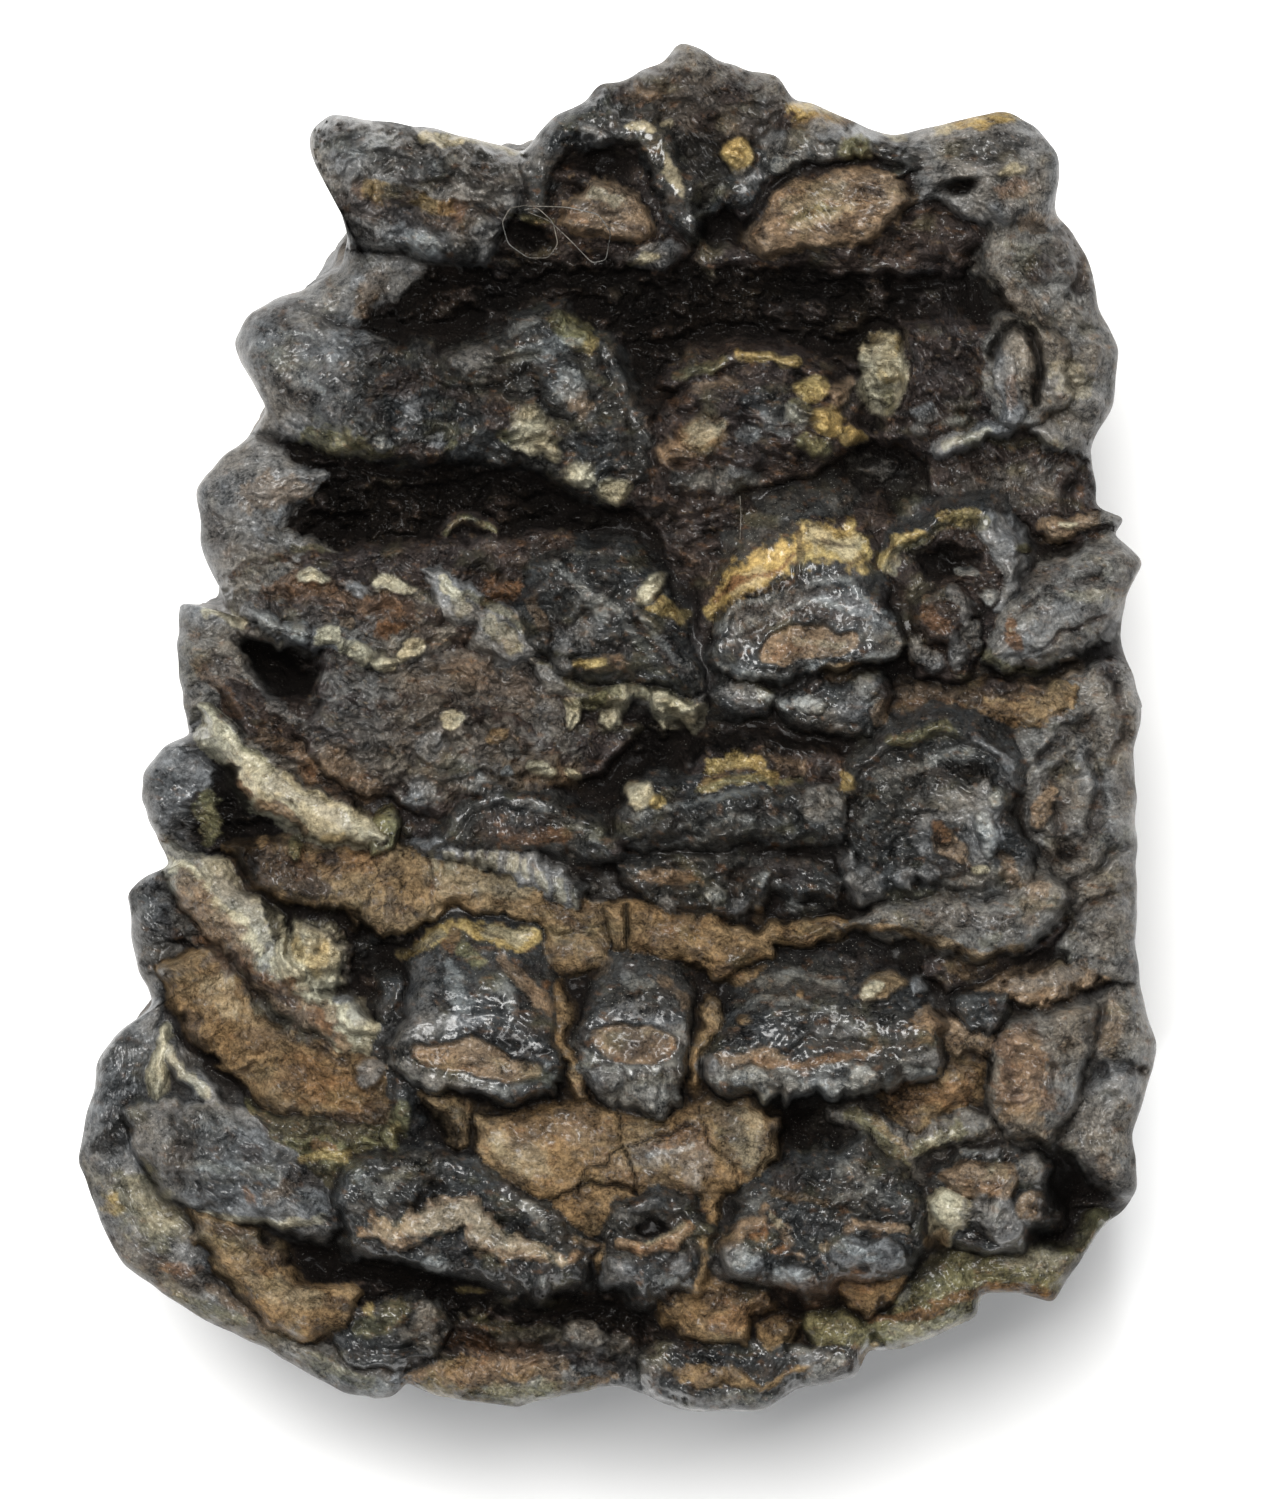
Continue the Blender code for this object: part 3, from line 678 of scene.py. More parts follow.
def right_wall(face):
    """The worn, pitted side wall along the right edge, with flowing furrows."""
    face.mound([(985, 225), (1060, 205), (1110, 250), (1140, 330), (1130, 430), (1098, 446),
        (1045, 450), (1052, 400), (1048, 335), (1010, 300), (985, 270)], 46, "wall", 1.6, -0.03, 0,
        lumps=0.35)
    face.mound([(930, 450), (1040, 436), (1130, 430), (1130, 560), (1060, 535), (985, 505), (940, 520)],
        45.4, "umber", 1, -0.01, 0, lumps=0.5)
    face.mound([(1012, 735), (1060, 690), (1100, 660), (1175, 680), (1175, 1000), (1120, 985),
        (1070, 960), (1035, 890), (1010, 820)], 45.5, "wall", 2.2, -0.03, 0, lumps=0.35, soft=60)
    face.mound([(1085, 1010), (1120, 985), (1180, 1000), (1180, 1120), (1150, 1200), (1095, 1180),
        (1060, 1140), (1075, 1070)], 44, "wall", 2.4, -0.03, 0, lumps=0.35, soft=50)
    face.paint([("worn", 0.7, [(1060, 330, 16), (1080, 385, 34), (1075, 420, 20)]),
        ("umber", 0.5, [(1062, 235, 14), (1082, 290, 12)]), ("dentine", 0.4, [(1010, 300, 12),
        (1040, 310, 12)]), ("worn", 0.5, [(1125, 700, 22), (1120, 800, 26), (1128, 900, 18)]),
        ("umber", 0.6, [(1100, 470, 12), (1085, 505, 14)]), ("wall", 0.5, [(960, 500, 18),
        (1040, 480, 22)]), ("worn", 0.5, [(1110, 1090, 24), (1090, 1120, 20)]),
        ("dentine", 0.4, [(1110, 1020, 14), (1105, 1060, 12)])])
    face.furrows([[(1062, 225), (1080, 262), (1078, 300)], [(1098, 440), (1085, 470), (1070, 500)],
        [(1024, 800), (1030, 842), (1052, 860), (1078, 842)], [(1060, 760), (1048, 790), (1064, 830),
        (1060, 852)], [(1050, 905), (1080, 872), (1112, 850), (1140, 838)], [(1040, 760), (1060, 735),
        (1100, 720)], [(1062, 930), (1092, 900), (1135, 888)], [(1088, 760), (1098, 800), (1090, 838)],
        [(1118, 690), (1124, 730), (1112, 762)], [(1095, 640), (1110, 668), (1118, 690)], [(1090, 1080),
        (1112, 1066), (1140, 1072)], [(1100, 1010), (1090, 1050), (1100, 1076)]], 1.2, 11)
    face.paint([("worn", 0.7, [(1044, 770, 7), (1034, 800, 6), (1044, 845, 6)]),
        ("worn", 0.6, [(1062, 880, 8), (1100, 850, 8)]), ("worn", 0.6, [(1080, 920, 7),
        (1125, 905, 8)]), ("worn", 0.6, [(1078, 740, 9), (1085, 790, 8)]),
        ("worn", 0.5, [(1095, 1060, 8), (1125, 1085, 8)])])


def row_three(face):
    """The third plate: a broken wing at the left, chipped lumps, a yellow cap, an arch and a blade."""
    face.mound([(150, 480), (205, 430), (262, 440), (332, 472), (288, 522), (262, 560), (240, 640),
        (180, 650), (150, 560)], 42, "worn", 3, 0.012, 0, lumps=0.25, soft=50)
    face.paint([("dentine", 0.5, [(262, 495, 18), (300, 490, 14)]), ("umber", 0.4, [(215, 520, 9),
        (225, 570, 9)])])
    face.mound([(330, 640), (420, 655), (520, 650), (570, 690), (640, 735), (600, 775), (450, 790),
        (360, 745), (318, 700)], 48.4, "umber", 1.6, 0, 0.004, lumps=0.7)
    face.paint([("wall", 0.7, [(380, 700, 60), (480, 700, 55), (540, 740, 40)]),
        ("dentine", 0.2, [(440, 690, 30), (510, 700, 26)]), ("rust", 0.2, [(460, 670, 14),
        (520, 690, 14)])])
    face.mound([(190, 590), (215, 540), (270, 522), (330, 545), (400, 560), (440, 590), (470, 640),
        (430, 662), (345, 668), (290, 645), (235, 640)], 44.2, "wall", 4.2, 0.024, 0, lumps=0.6,
        soft=45)
    face.paint([("worn", 0.8, [(215, 590, 12), (225, 552, 12), (262, 535, 10), (300, 545, 8)]),
        ("umber", 0.8, [(225, 575, 5), (268, 560, 5), (320, 560, 5)]), ("rust", 0.7, [(262, 590, 8),
        (320, 596, 12), (400, 612, 13)]), ("rust", 0.6, [(300, 582, 12), (335, 586, 8)]),
        ("umber", 0.7, [(290, 602, 6), (350, 606, 5)]), ("umber", 0.7, [(250, 600, 6), (330, 616, 7),
        (430, 632, 9)]), ("umber", 0.6, [(300, 552, 7), (380, 570, 8)]), ("olive", 0.6, [(290, 548, 5),
        (340, 556, 5)]), ("umber", 0.7, [(400, 600, 8), (440, 618, 8)]), ("rust", 0.8, [(376, 628, 6),
        (394, 626, 5)])])
    face.ridge([(246, 612, 47.6, 6), (285, 626, 48.8, 8), (330, 640, 49.6, 9), (372, 656, 50.2, 9),
        (412, 656, 50.4, 6)], "worn", 0.3, 0.5, 0.8)
    face.paint([("pearl", 0.5, [(255, 616, 6), (300, 628, 7)]), ("cream", 0.7, [(322, 638, 7),
        (365, 652, 8), (405, 656, 6)]), ("olive", 0.4, [(340, 650, 5), (385, 662, 5)])])
    face.cracks([([(287, 616), (283, 634)], 0.5, 3, "umber", 0.6), ([(312, 624), (308, 646)],
        0.5, 3, "umber", 0.6), ([(348, 636), (342, 660)], 0.5, 3, "umber", 0.6), ([(380, 648),
        (376, 668)], 0.5, 3, "umber", 0.6)])
    face.knobs([(318, 580, 17, 9, 0.7, "cream", 6), (272, 622, 16, 13, 1.2, "pearl", 10),
        (303, 630, 10, 13, 1.2, "pearl"), (327, 636, 14, 12, 1, "cream", 10),
        (337, 568, 11, 7, 0.6, "pearl"), (362, 654, 15, 11, 1.4, "cream", 8),
        (388, 660, 12, 10, 1.4, "cream"), (412, 646, 16, 11, 1.2, "cream"),
        (396, 588, 24, 10, 0.8, "cream", 8), (356, 590, 14, 8, 0.8, "worn"),
        (430, 612, 14, 12, 0.9, "umber"), (345, 622, 12, 7, 0.6, "dentine"),
        (300, 560, 12, 6, 0.5, "worn", 8)])
    face.mound([(300, 560), (420, 545), (560, 530), (620, 560), (600, 660), (540, 680), (470, 664),
        (420, 650)], 47.6, "umber", 2, soft=30, lumps=0.9)
    face.mound([(424, 566), (452, 566), (490, 592), (482, 622), (460, 626), (438, 612)], 50.2, "worn",
        1, soft=20, lumps=0.4, edge=0.25)
    face.mound([(474, 612), (505, 606), (536, 622), (536, 656), (516, 666), (482, 650)], 50.4, "worn",
        1, soft=20, lumps=0.4, edge=0.25)
    face.paint([("cream", 0.8, [(446, 580, 8), (464, 606, 9)]), ("cream", 0.75, [(496, 628, 10),
        (514, 648, 9)]), ("olive", 0.5, [(470, 590, 6), (520, 625, 6)])])
    face.mound([(526, 656), (548, 664), (590, 686), (640, 688), (700, 690), (698, 704), (600, 704),
        (552, 694)], 50, "wall", 0.8, soft=12, lumps=0.4, edge=0.3)
    face.paint([("olive", 0.6, [(545, 672, 8), (600, 692, 7), (680, 696, 7)]),
        ("rust", 0.8, [(502, 586, 14), (528, 590, 12)]), ("wall", 0.6, [(455, 600, 8), (508, 640, 10)]),
        ("dentine", 0.5, [(530, 610, 14), (545, 632, 10)])])
    face.mound([(530, 562), (560, 546), (610, 548), (652, 566), (680, 610), (700, 650), (708, 688),
        (640, 690), (590, 684), (555, 670), (528, 640), (515, 600)], 50, "enamel", 3.4, 0, 0.006,
        lumps=0.9, edge=0.25)
    face.mound([(650, 470), (760, 500), (820, 500), (900, 520), (900, 560), (700, 600), (660, 560)],
        47.8, "umber", 1.6, soft=30, lumps=0.9, edge=0.25)
    # The pale glossy streaks on this flank are painted glints
    face.paint([("pearl", 0.6, [(560, 566, 6), (585, 590, 7), (600, 620, 6)]),
        ("pearl", 0.6, [(598, 596, 4), (625, 622, 5), (650, 655, 5)]), ("worn", 0.7, [(562, 640, 14),
        (592, 636, 12)]), ("umber", 0.6, [(650, 620, 12), (670, 650, 12)]),
        ("amber", 0.7, [(662, 606, 7), (682, 616, 6)]), ("pearl", 0.5, [(640, 600, 4), (660, 640, 4),
        (690, 665, 4)]), ("pit", 0.7, [(540, 612, 3), (548, 650, 3)]), ("dentine", 0.5, [(530, 600, 5),
        (540, 625, 5)])])
    face.knobs([(651, 588, 12, 18, 1, "cream", 24), (601, 664, 28, 11, 1.2, "dentine", 6),
        (592, 662, 18, 8, 0.5, "amber", 4), (612, 664, 12, 6, 0.4, "dentine"),
        (562, 663, 14, 10, 0.7, "worn"), (548, 676, 18, 9, 0.8, "worn", 30),
        (571, 711, 13, 17, 1.8, "cream"), (591, 702, 12, 9, 1, "olive"),
        (614, 709, 18, 23, 2.2, "cream"), (658, 704, 11, 11, 1.2, "cream"),
        (671, 711, 20, 18, 2.2, "cream"), (692, 715, 17, 18, 2.2, "cream")])
    face.paint([("olive", 0.6, [(565, 706, 6), (612, 698, 9)]), ("olive", 0.5, [(670, 704, 8)])])
    face.lobe(806, 646, 54, 18, 54.6, -8, ring=36, lip=9, back=98, fall=6.5, bow=46, basin=0.7, ribs=0,
        seed=26)
    face.paint([("wall", 0.55, [(735, 640, 10), (760, 620, 14), (800, 605, 16), (860, 610, 16),
        (890, 640, 10)]), ("umber", 0.65, [(735, 640, 10), (760, 620, 12), (800, 605, 14),
        (860, 610, 14)]), ("worn", 0.5, [(735, 628, 4), (790, 598, 4), (872, 605, 5)])])
    face.mound([(756, 664), (764, 648), (790, 634), (830, 626), (858, 634), (862, 650), (830, 664),
        (790, 668)], 53.4, "dentine", 1, soft=14, lumps=0.3)
    face.paint([("rust", 0.5, [(775, 655, 5), (810, 645, 5)]), ("cream", 0.3, [(790, 645, 4),
        (840, 640, 4)])])
    face.mound([(700, 622), (702, 594), (720, 568), (750, 548), (780, 538), (800, 520), (836, 514),
        (868, 524), (882, 552), (874, 580), (800, 584), (740, 614), (712, 630)], 50.4, "umber", 1.4,
        soft=30, lumps=0.4, edge=0.2)
    # Among the cap's stains, the pale glossy dabs along the rib arcs are painted glints
    face.paint([("amber", 0.95, [(712, 608, 10), (730, 590, 15), (758, 568, 18), (782, 556, 15)]),
        ("amber", 1, [(806, 548, 18), (836, 544, 24), (856, 552, 18)]), ("cream", 0.6, [(815, 540, 12),
        (850, 546, 14)]), ("cream", 0.5, [(735, 590, 7), (765, 570, 8)]), ("rust", 0.8, [(712, 598, 3),
        (738, 582, 4), (775, 568, 3), (792, 556, 2)]), ("umber", 0.7, [(720, 612, 2), (748, 594, 3),
        (785, 584, 2)]), ("rust", 0.7, [(726, 590, 5), (742, 578, 4)]), ("umber", 0.6, [(800, 545, 2),
        (822, 540, 3), (850, 548, 2)]), ("umber", 0.5, [(812, 562, 2), (840, 568, 2), (866, 560, 2)]),
        ("umber", 0.7, [(797, 530, 3), (799, 575, 3)]), ("pearl", 0.5, [(716, 630, 3), (745, 606, 4),
        (795, 590, 3), (850, 582, 4), (884, 612, 3)]), ("pearl", 0.45, [(725, 645, 3), (762, 618, 4),
        (815, 604, 4), (872, 612, 5), (892, 640, 3)]), ("worn", 0.4, [(850, 600, 10), (880, 625, 8)]),
        ("pit", 0.7, [(756, 668, 3), (800, 668, 3), (858, 656, 3)])])
    face.mound([(704, 690), (716, 676), (750, 674), (778, 690), (772, 712), (740, 722), (712, 712)],
        50.8, "enamel", 1.6, soft=18, lumps=0.3)
    face.mound([(780, 700), (800, 682), (840, 684), (880, 672), (892, 700), (880, 726), (830, 738),
        (790, 728)], 50.8, "enamel", 2, soft=22, lumps=0.3)
    # The pale glossy dabs and knob on these lips are painted highlights
    face.paint([("worn", 0.8, [(728, 692, 10), (752, 698, 9)]), ("pearl", 0.8, [(764, 696, 5),
        (812, 704, 10)]), ("worn", 0.7, [(835, 716, 10), (868, 700, 10)]),
        ("pearl", 0.5, [(872, 680, 4), (880, 712, 4)])])
    face.knobs([(814, 706, 14, 10, 0.7, "pearl"), (868, 690, 14, 12, 0.7, "worn"),
        (818, 684, 9, 9, 1, "umber"), (840, 672, 18, 12, 1, "tan", -6),
        (884, 715, 14, 13, 1.2, "dentine")])
    face.mound([(886, 575), (900, 545), (925, 520), (960, 510), (992, 520), (1010, 560), (1012, 600),
        (990, 650), (960, 680), (920, 680), (896, 650), (900, 610)], 48.8, "umber", 2.4, lumps=0.6)
    face.pit(945, 560, 42, 20, 3, -6, "pit")
    face.ridge([(882, 574, 50, 4), (896, 548, 51, 5), (920, 528, 51.8, 6), (950, 516, 52, 6),
        (982, 516, 51.8, 5)], "enamel", 0.25, 0.35)
    face.paint([("amber", 0.85, [(886, 566, 6), (900, 546, 8), (916, 534, 6)]),
        ("amber", 0.7, [(938, 520, 5), (975, 518, 5)])])
    face.ridge([(984, 520, 51.8, 6), (1000, 545, 51.6, 7), (1008, 575, 51.4, 7), (1003, 600, 50.8, 6)],
        "worn", 0.3)
    face.paint([("olive", 0.5, [(900, 552, 5), (945, 524, 6), (985, 522, 5)]),
        ("umber", 0.6, [(905, 560, 3), (950, 532, 3)]), ("cream", 0.5, [(890, 570, 5), (905, 548, 4)])])
    face.mound([(914, 612), (922, 592), (945, 582), (968, 590), (975, 612), (968, 630), (948, 642),
        (924, 632)], 53.4, "umber", 1, soft=16, lumps=0.35)
    face.paint([("rust", 0.5, [(925, 612, 8), (945, 628, 9)]), ("worn", 0.8, [(955, 588, 7),
        (970, 605, 6), (968, 625, 4)]), ("pit", 0.8, [(915, 600, 2), (935, 586, 2)]),
        ("pit", 0.7, [(985, 590, 5), (978, 640, 4), (985, 670, 4)])])
    face.knobs([(968, 566, 13, 7, 1, "pearl", 8), (990, 594, 11, 9, 1, "pearl"),
        (915, 650, 15, 18, 1.6, "worn"), (933, 662, 13, 14, 1.4, "worn"),
        (958, 652, 11, 20, 1.4, "worn", 6), (974, 640, 9, 24, 1.2, "wall", 6),
        (902, 625, 10, 14, 0.9, "enamel")])
    face.slab([(880, 688), (960, 684), (1040, 690), (1080, 684), (1078, 716), (1040, 730), (960, 732),
        (880, 722)], 48.6, "tan", 0, 0, 0.35, cracks=15)
    face.paint([("umber", 0.75, [(890, 695, 14), (960, 694, 10), (1040, 690, 12)]),
        ("rust", 0.4, [(900, 712, 12), (1010, 715, 12)]), ("pit", 0.7, [(900, 728, 5), (960, 738, 4)])])
    face.mound([(985, 640), (1010, 596), (1040, 566), (1075, 552), (1110, 536), (1160, 540),
        (1160, 600), (1122, 612), (1095, 640), (1062, 660), (1005, 678), (978, 668)], 46.6, "wall", 4.4,
        -0.026, 0, lumps=0.3)
    face.paint([("worn", 0.6, [(1010, 655, 8), (1050, 625, 16), (1100, 600, 14)]),
        ("umber", 0.5, [(1030, 580, 12), (1060, 572, 8)]), ("cream", 0.35, [(1068, 596, 6),
        (1110, 590, 6)]), ("umber", 0.7, [(1050, 640, 3), (1080, 622, 3), (1108, 610, 3)]),
        ("rust", 0.85, [(1012, 625, 7), (1016, 645, 8)]), ("cream", 0.5, [(1014, 630, 3)]),
        ("olive", 0.7, [(988, 660, 8), (1010, 672, 5), (1045, 672, 5)]), ("pit", 0.8, [(1112, 630, 12),
        (1105, 655, 12)]), ("umber", 0.8, [(1108, 670, 14)]), ("umber", 0.7, [(1040, 550, 5),
        (1080, 545, 5)])])
    face.furrows([[(1030, 650), (1062, 632), (1100, 612)], [(1020, 612), (1050, 590), (1100, 575)]],
        0.5, 4)
    face.ridge([(1052, 524, 47.6, 8), (1090, 520, 46.8, 9)], "dentine", 0.25, 0.35)
    face.knobs([(1110, 516, 13, 14, 2.2, "wall", 20), (1070, 522, 16, 6, 0.5, "cream"),
        (1020, 548, 12, 8, 1, "olive"), (1048, 545, 14, 6, 0.9, "umber"),
        (1072, 668, 14, 14, 1.6, "dentine"), (1000, 690, 22, 10, 1, "umber")])


def row_four(face):
    """The fourth plate: a pale broken band at the left, small teeth, a long flank and a big arch."""
    face.slab([(232, 850), (330, 846), (430, 852), (500, 862), (560, 890), (606, 905), (606, 948),
        (560, 940), (500, 912), (460, 903), (418, 918), (385, 938), (335, 905), (270, 895)], 49.4,
        "tan", 0, 0, 0.5, cracks=15)
    face.paint([("umber", 0.8, [(245, 870, 16), (290, 872, 26), (320, 885, 12)]),
        ("rust", 0.4, [(300, 860, 12), (380, 862, 10)]), ("umber", 0.5, [(385, 880, 4), (390, 920, 5)]),
        ("umber", 0.5, [(428, 862, 3), (434, 905, 3)]), ("cream", 0.25, [(450, 880, 14),
        (520, 885, 14)]), ("umber", 0.6, [(555, 900, 8), (585, 935, 8)]), ("pit", 0.7, [(222, 880, 10),
        (262, 905, 7), (330, 912, 4), (385, 944, 4)])])
    face.mound([(225, 690), (300, 700), (380, 740), (470, 800), (470, 850), (390, 850), (330, 800),
        (250, 760)], 46.4, "umber", 1.6, soft=26, lumps=0.7, edge=0.25)
    face.paint([("rust", 0.35, [(310, 760, 14), (360, 795, 14)])])
    face.mound([(140, 590), (200, 590), (240, 606), (258, 645), (300, 690), (335, 740), (335, 768),
        (270, 735), (222, 705), (170, 740), (140, 680)], 42, "wall", 3, 0.02, 0, lumps=0.35)
    face.paint([("cream", 0.7, [(206, 604, 6), (224, 612, 7), (240, 622, 5)]),
        ("worn", 0.5, [(180, 640, 16), (190, 690, 12)]), ("umber", 0.6, [(212, 655, 9), (240, 690, 8),
        (225, 660, 6)]), ("pit", 0.8, [(236, 632, 6), (262, 662, 7)]), ("worn", 0.7, [(246, 668, 5),
        (275, 700, 6), (320, 738, 6)]), ("rust", 0.4, [(200, 660, 7), (232, 712, 8)]),
        ("dentine", 0.4, [(262, 735, 8), (310, 760, 9)])])
    face.pits([(274, 668, 52, 26, 5, 42, "pit"), (262, 652, 26, 16, 3, 30, "pit")])
    face.mound([(198, 704), (226, 722), (252, 752), (280, 770), (312, 788), (346, 796), (374, 820),
        (388, 842), (350, 838), (328, 840), (298, 834), (276, 814), (248, 798), (228, 772), (208, 744)],
        47, "cream", 2.6, 0.034, 0, soft=24, lumps=0.08)
    face.paint([("wall", 0.85, [(216, 716, 4), (250, 746, 6), (284, 768, 8), (316, 784, 8),
        (350, 797, 8)]), ("dentine", 0.5, [(300, 772, 5), (345, 792, 6)]),
        ("pearl", 0.4, [(268, 780, 7), (290, 800, 8)]), ("worn", 0.4, [(310, 800, 8), (345, 822, 8)]),
        ("rust", 0.8, [(238, 784, 6), (248, 794, 6)]), ("rust", 0.7, [(262, 800, 7), (282, 814, 4),
        (300, 832, 4)]), ("olive", 0.6, [(240, 748, 4), (262, 762, 4)]), ("rust", 0.5, [(310, 770, 12),
        (360, 795, 10)]), ("umber", 0.6, [(320, 775, 8), (370, 810, 8)]), ("rust", 0.45, [(225, 765, 4),
        (240, 790, 3)]), ("amber", 0.5, [(320, 834, 4), (345, 832, 3)])])
    face.mound([(290, 735), (345, 695), (440, 690), (500, 704), (560, 745), (575, 775), (520, 800),
        (440, 815), (390, 800), (340, 780)], 49.4, "umber", 1.8, 0.004, 0.004, lumps=0.9, soft=30)
    # The pale glossy dabs in this speckled zone are painted glints
    face.paint([("wall", 0.6, [(350, 740, 40), (440, 745, 50), (520, 765, 36)]),
        ("umber", 0.5, [(330, 730, 16), (345, 770, 12)]), ("pearl", 0.5, [(450, 765, 10),
        (490, 788, 9)]), ("tan", 0.35, [(530, 770, 22), (570, 775, 16)]),
        ("dentine", 0.5, [(330, 760, 14), (370, 790, 12)]), ("pearl", 0.4, [(430, 790, 12),
        (410, 800, 8)])])
    face.knobs([(462, 776, 22, 12, 1, "enamel", -10), (490, 790, 18, 10, 1, "enamel", -10),
        (430, 745, 16, 14, 1, "worn"), (462, 742, 12, 12, 0.8, "wall"), (545, 768, 14, 10, 1, "cream"),
        (575, 772, 12, 7, 0.9, "cream", 10), (520, 750, 14, 9, 1, "wall"),
        (500, 735, 12, 9, 0.8, "tan"), (425, 786, 16, 12, 1, "worn"), (395, 765, 18, 14, 0.8, "wall"),
        (450, 722, 14, 10, 0.7, "cream"), (512, 770, 8, 8, 0.6, "pearl"),
        (408, 720, 10, 8, 0.6, "wall"), (480, 712, 12, 9, 0.6, "umber")])
    face.lobe(386, 843, 8, 6, 50.9, 0, ring=6, lip=5, back=10, fall=1, bow=4, basin=0.8, core="umber",
        shell="olive", rim="olive")
    face.mound([(440, 842), (470, 812), (510, 798), (560, 808), (610, 830), (640, 855), (600, 866),
        (560, 852), (500, 854)], 50.2, "enamel", 2, soft=24, lumps=0.5)
    face.ridge([(438, 842, 51.6, 4), (468, 814, 52.4, 6), (500, 800, 52.8, 6), (545, 806, 52.6, 6),
        (600, 830, 52, 6)], "enamel", 0.3, 0.35)
    face.paint([("rust", 0.5, [(500, 838, 10), (560, 836, 10)]), ("umber", 0.5, [(480, 830, 8),
        (540, 822, 8)]), ("pearl", 0.35, [(520, 804, 4), (570, 820, 4), (610, 850, 4)])])
    face.ridge([(424, 848, 50.6, 7), (450, 850, 50.9, 8), (490, 856, 51.2, 10), (520, 868, 51.2, 14),
        (552, 882, 51, 15), (572, 894, 50.6, 9)], "worn", 0.35, 0.4, 0.8)
    for place in range(13):
        across = 428.0 + 11.5 * place + 3.5 * np.sin(2.3 * place)
        down = 850.0 + 0.42 * max(0.0, across - 490.0)
        face.paint([("cream", 0.45, [(across + 5.0, down + 2.0, 3.5), (across + 7.0, down + 16.0, 4.5)])])
        face.crack([(across, down - 4.0), (across + 3.0, down + 18.0)], 0.35, 3.0, "umber", 0.35)
    face.knobs([(584, 884, 16, 14, 1.2, "enamel"), (606, 890, 20, 16, 1.4, "worn"),
        (296, 848, 8, 14, 1.2, "olive"), (434, 842, 12, 8, 1, "worn"), (330, 852, 14, 8, 0.8, "umber")])
    face.mound([(618, 805), (640, 782), (700, 770), (790, 776), (838, 788), (848, 820), (832, 846),
        (700, 852), (640, 850), (615, 835)], 50.6, "enamel", 3.4, 0, 0.006, lumps=0.8)
    face.mound([(690, 765), (706, 744), (740, 738), (800, 746), (850, 762), (860, 790), (780, 800),
        (700, 800)], 50.4, "umber", 1.4, soft=24, lumps=0.7, edge=0.2)
    # Near-black along the valley behind this flank is painted shade; the pale glossy dabs on the flank are
    # painted glints
    face.paint([("pit", 0.75, [(640, 765, 12), (690, 752, 8), (700, 740, 8), (760, 738, 9),
        (850, 745, 9)]), ("umber", 0.6, [(720, 750, 10), (830, 765, 12)]),
        ("amber", 0.85, [(712, 764, 8), (738, 760, 9), (756, 766, 6)]), ("amber", 0.7, [(706, 784, 6),
        (740, 780, 5), (770, 776, 5)]), ("dentine", 0.6, [(775, 762, 8), (800, 768, 8)]),
        ("rust", 0.5, [(705, 780, 5), (730, 772, 4)]), ("umber", 0.6, [(790, 772, 8)]),
        ("olive", 0.7, [(700, 786, 3), (745, 780, 3), (800, 780, 3)]), ("pearl", 0.5, [(640, 812, 4),
        (700, 800, 5), (760, 795, 4)]), ("pearl", 0.45, [(650, 830, 4), (720, 820, 5), (780, 818, 4)]),
        ("pearl", 0.4, [(690, 838, 3), (760, 834, 3)]), ("rust", 0.7, [(778, 848, 5)])])
    face.knobs([(842, 800, 14, 18, 1.8, "enamel", 10), (836, 826, 16, 16, 1.6, "wall"),
        (850, 850, 14, 16, 1.4, "enamel"), (700, 812, 40, 12, 1.2, "enamel", -6),
        (770, 806, 40, 14, 1.2, "enamel", 4), (730, 834, 44, 12, 1.2, "enamel"),
        (660, 826, 22, 14, 1.2, "enamel", 20), (642, 794, 14, 15, 1.2, "cream", -20),
        (660, 802, 12, 8, 0.7, "amber"), (822, 806, 24, 22, 1, "wall"), (835, 838, 14, 12, 1, "enamel"),
        (620, 842, 14, 12, 1, "umber")])
    face.mound([(618, 868), (650, 852), (700, 852), (760, 856), (800, 862), (845, 880), (832, 902),
        (780, 892), (740, 914), (690, 922), (655, 905)], 49.2, "enamel", 2, soft=24, lumps=0.9)
    face.paint([("dentine", 0.85, [(645, 872, 4), (668, 878, 7), (700, 886, 4)]),
        ("umber", 0.5, [(720, 870, 10), (800, 876, 12)]), ("pearl", 0.4, [(720, 858, 5),
        (760, 866, 5)])])
    face.knobs([(690, 862, 22, 9, 0.9, "enamel"), (738, 862, 18, 10, 1, "enamel"),
        (668, 908, 10, 11, 1.2, "worn"), (692, 900, 22, 13, 1.3, "enamel", 8),
        (716, 896, 14, 9, 0.8, "pearl"), (726, 918, 18, 24, 1.8, "enamel"),
        (744, 908, 10, 16, 1, "worn"), (764, 888, 16, 16, 1.3, "enamel"),
        (770, 884, 7, 8, 0.8, "pearl"), (796, 896, 14, 10, 1, "enamel"),
        (812, 914, 31, 23, 2.4, "enamel", -6), (762, 912, 9, 9, 1, "tan")])
    # The pale glossy dabs on the round bead are painted highlights
    face.paint([("pearl", 0.7, [(795, 906, 7)]), ("pearl", 0.6, [(828, 920, 7)]),
        ("worn", 0.4, [(640, 905, 10)])])
    face.mound([(846, 820), (862, 778), (890, 748), (925, 732), (975, 736), (1004, 768), (1020, 810),
        (1040, 850), (1030, 895), (960, 900), (900, 900), (860, 905), (836, 880)], 49.8, "enamel", 3.4,
        0, 0.004, lumps=0.8)
    face.ridge([(842, 800, 50.5, 3), (862, 766, 51.8, 4), (895, 738, 52.6, 4), (932, 728, 53, 5),
        (968, 730, 52.8, 5), (995, 750, 52.4, 5), (1014, 782, 51.4, 5)], "enamel", 0.2, 0.2)
    face.mound([(905, 840), (926, 800), (950, 780), (985, 778), (1005, 800), (1010, 840), (992, 862),
        (950, 872), (915, 864)], 52.2, "worn", 1.2, soft=18, lumps=0.35)
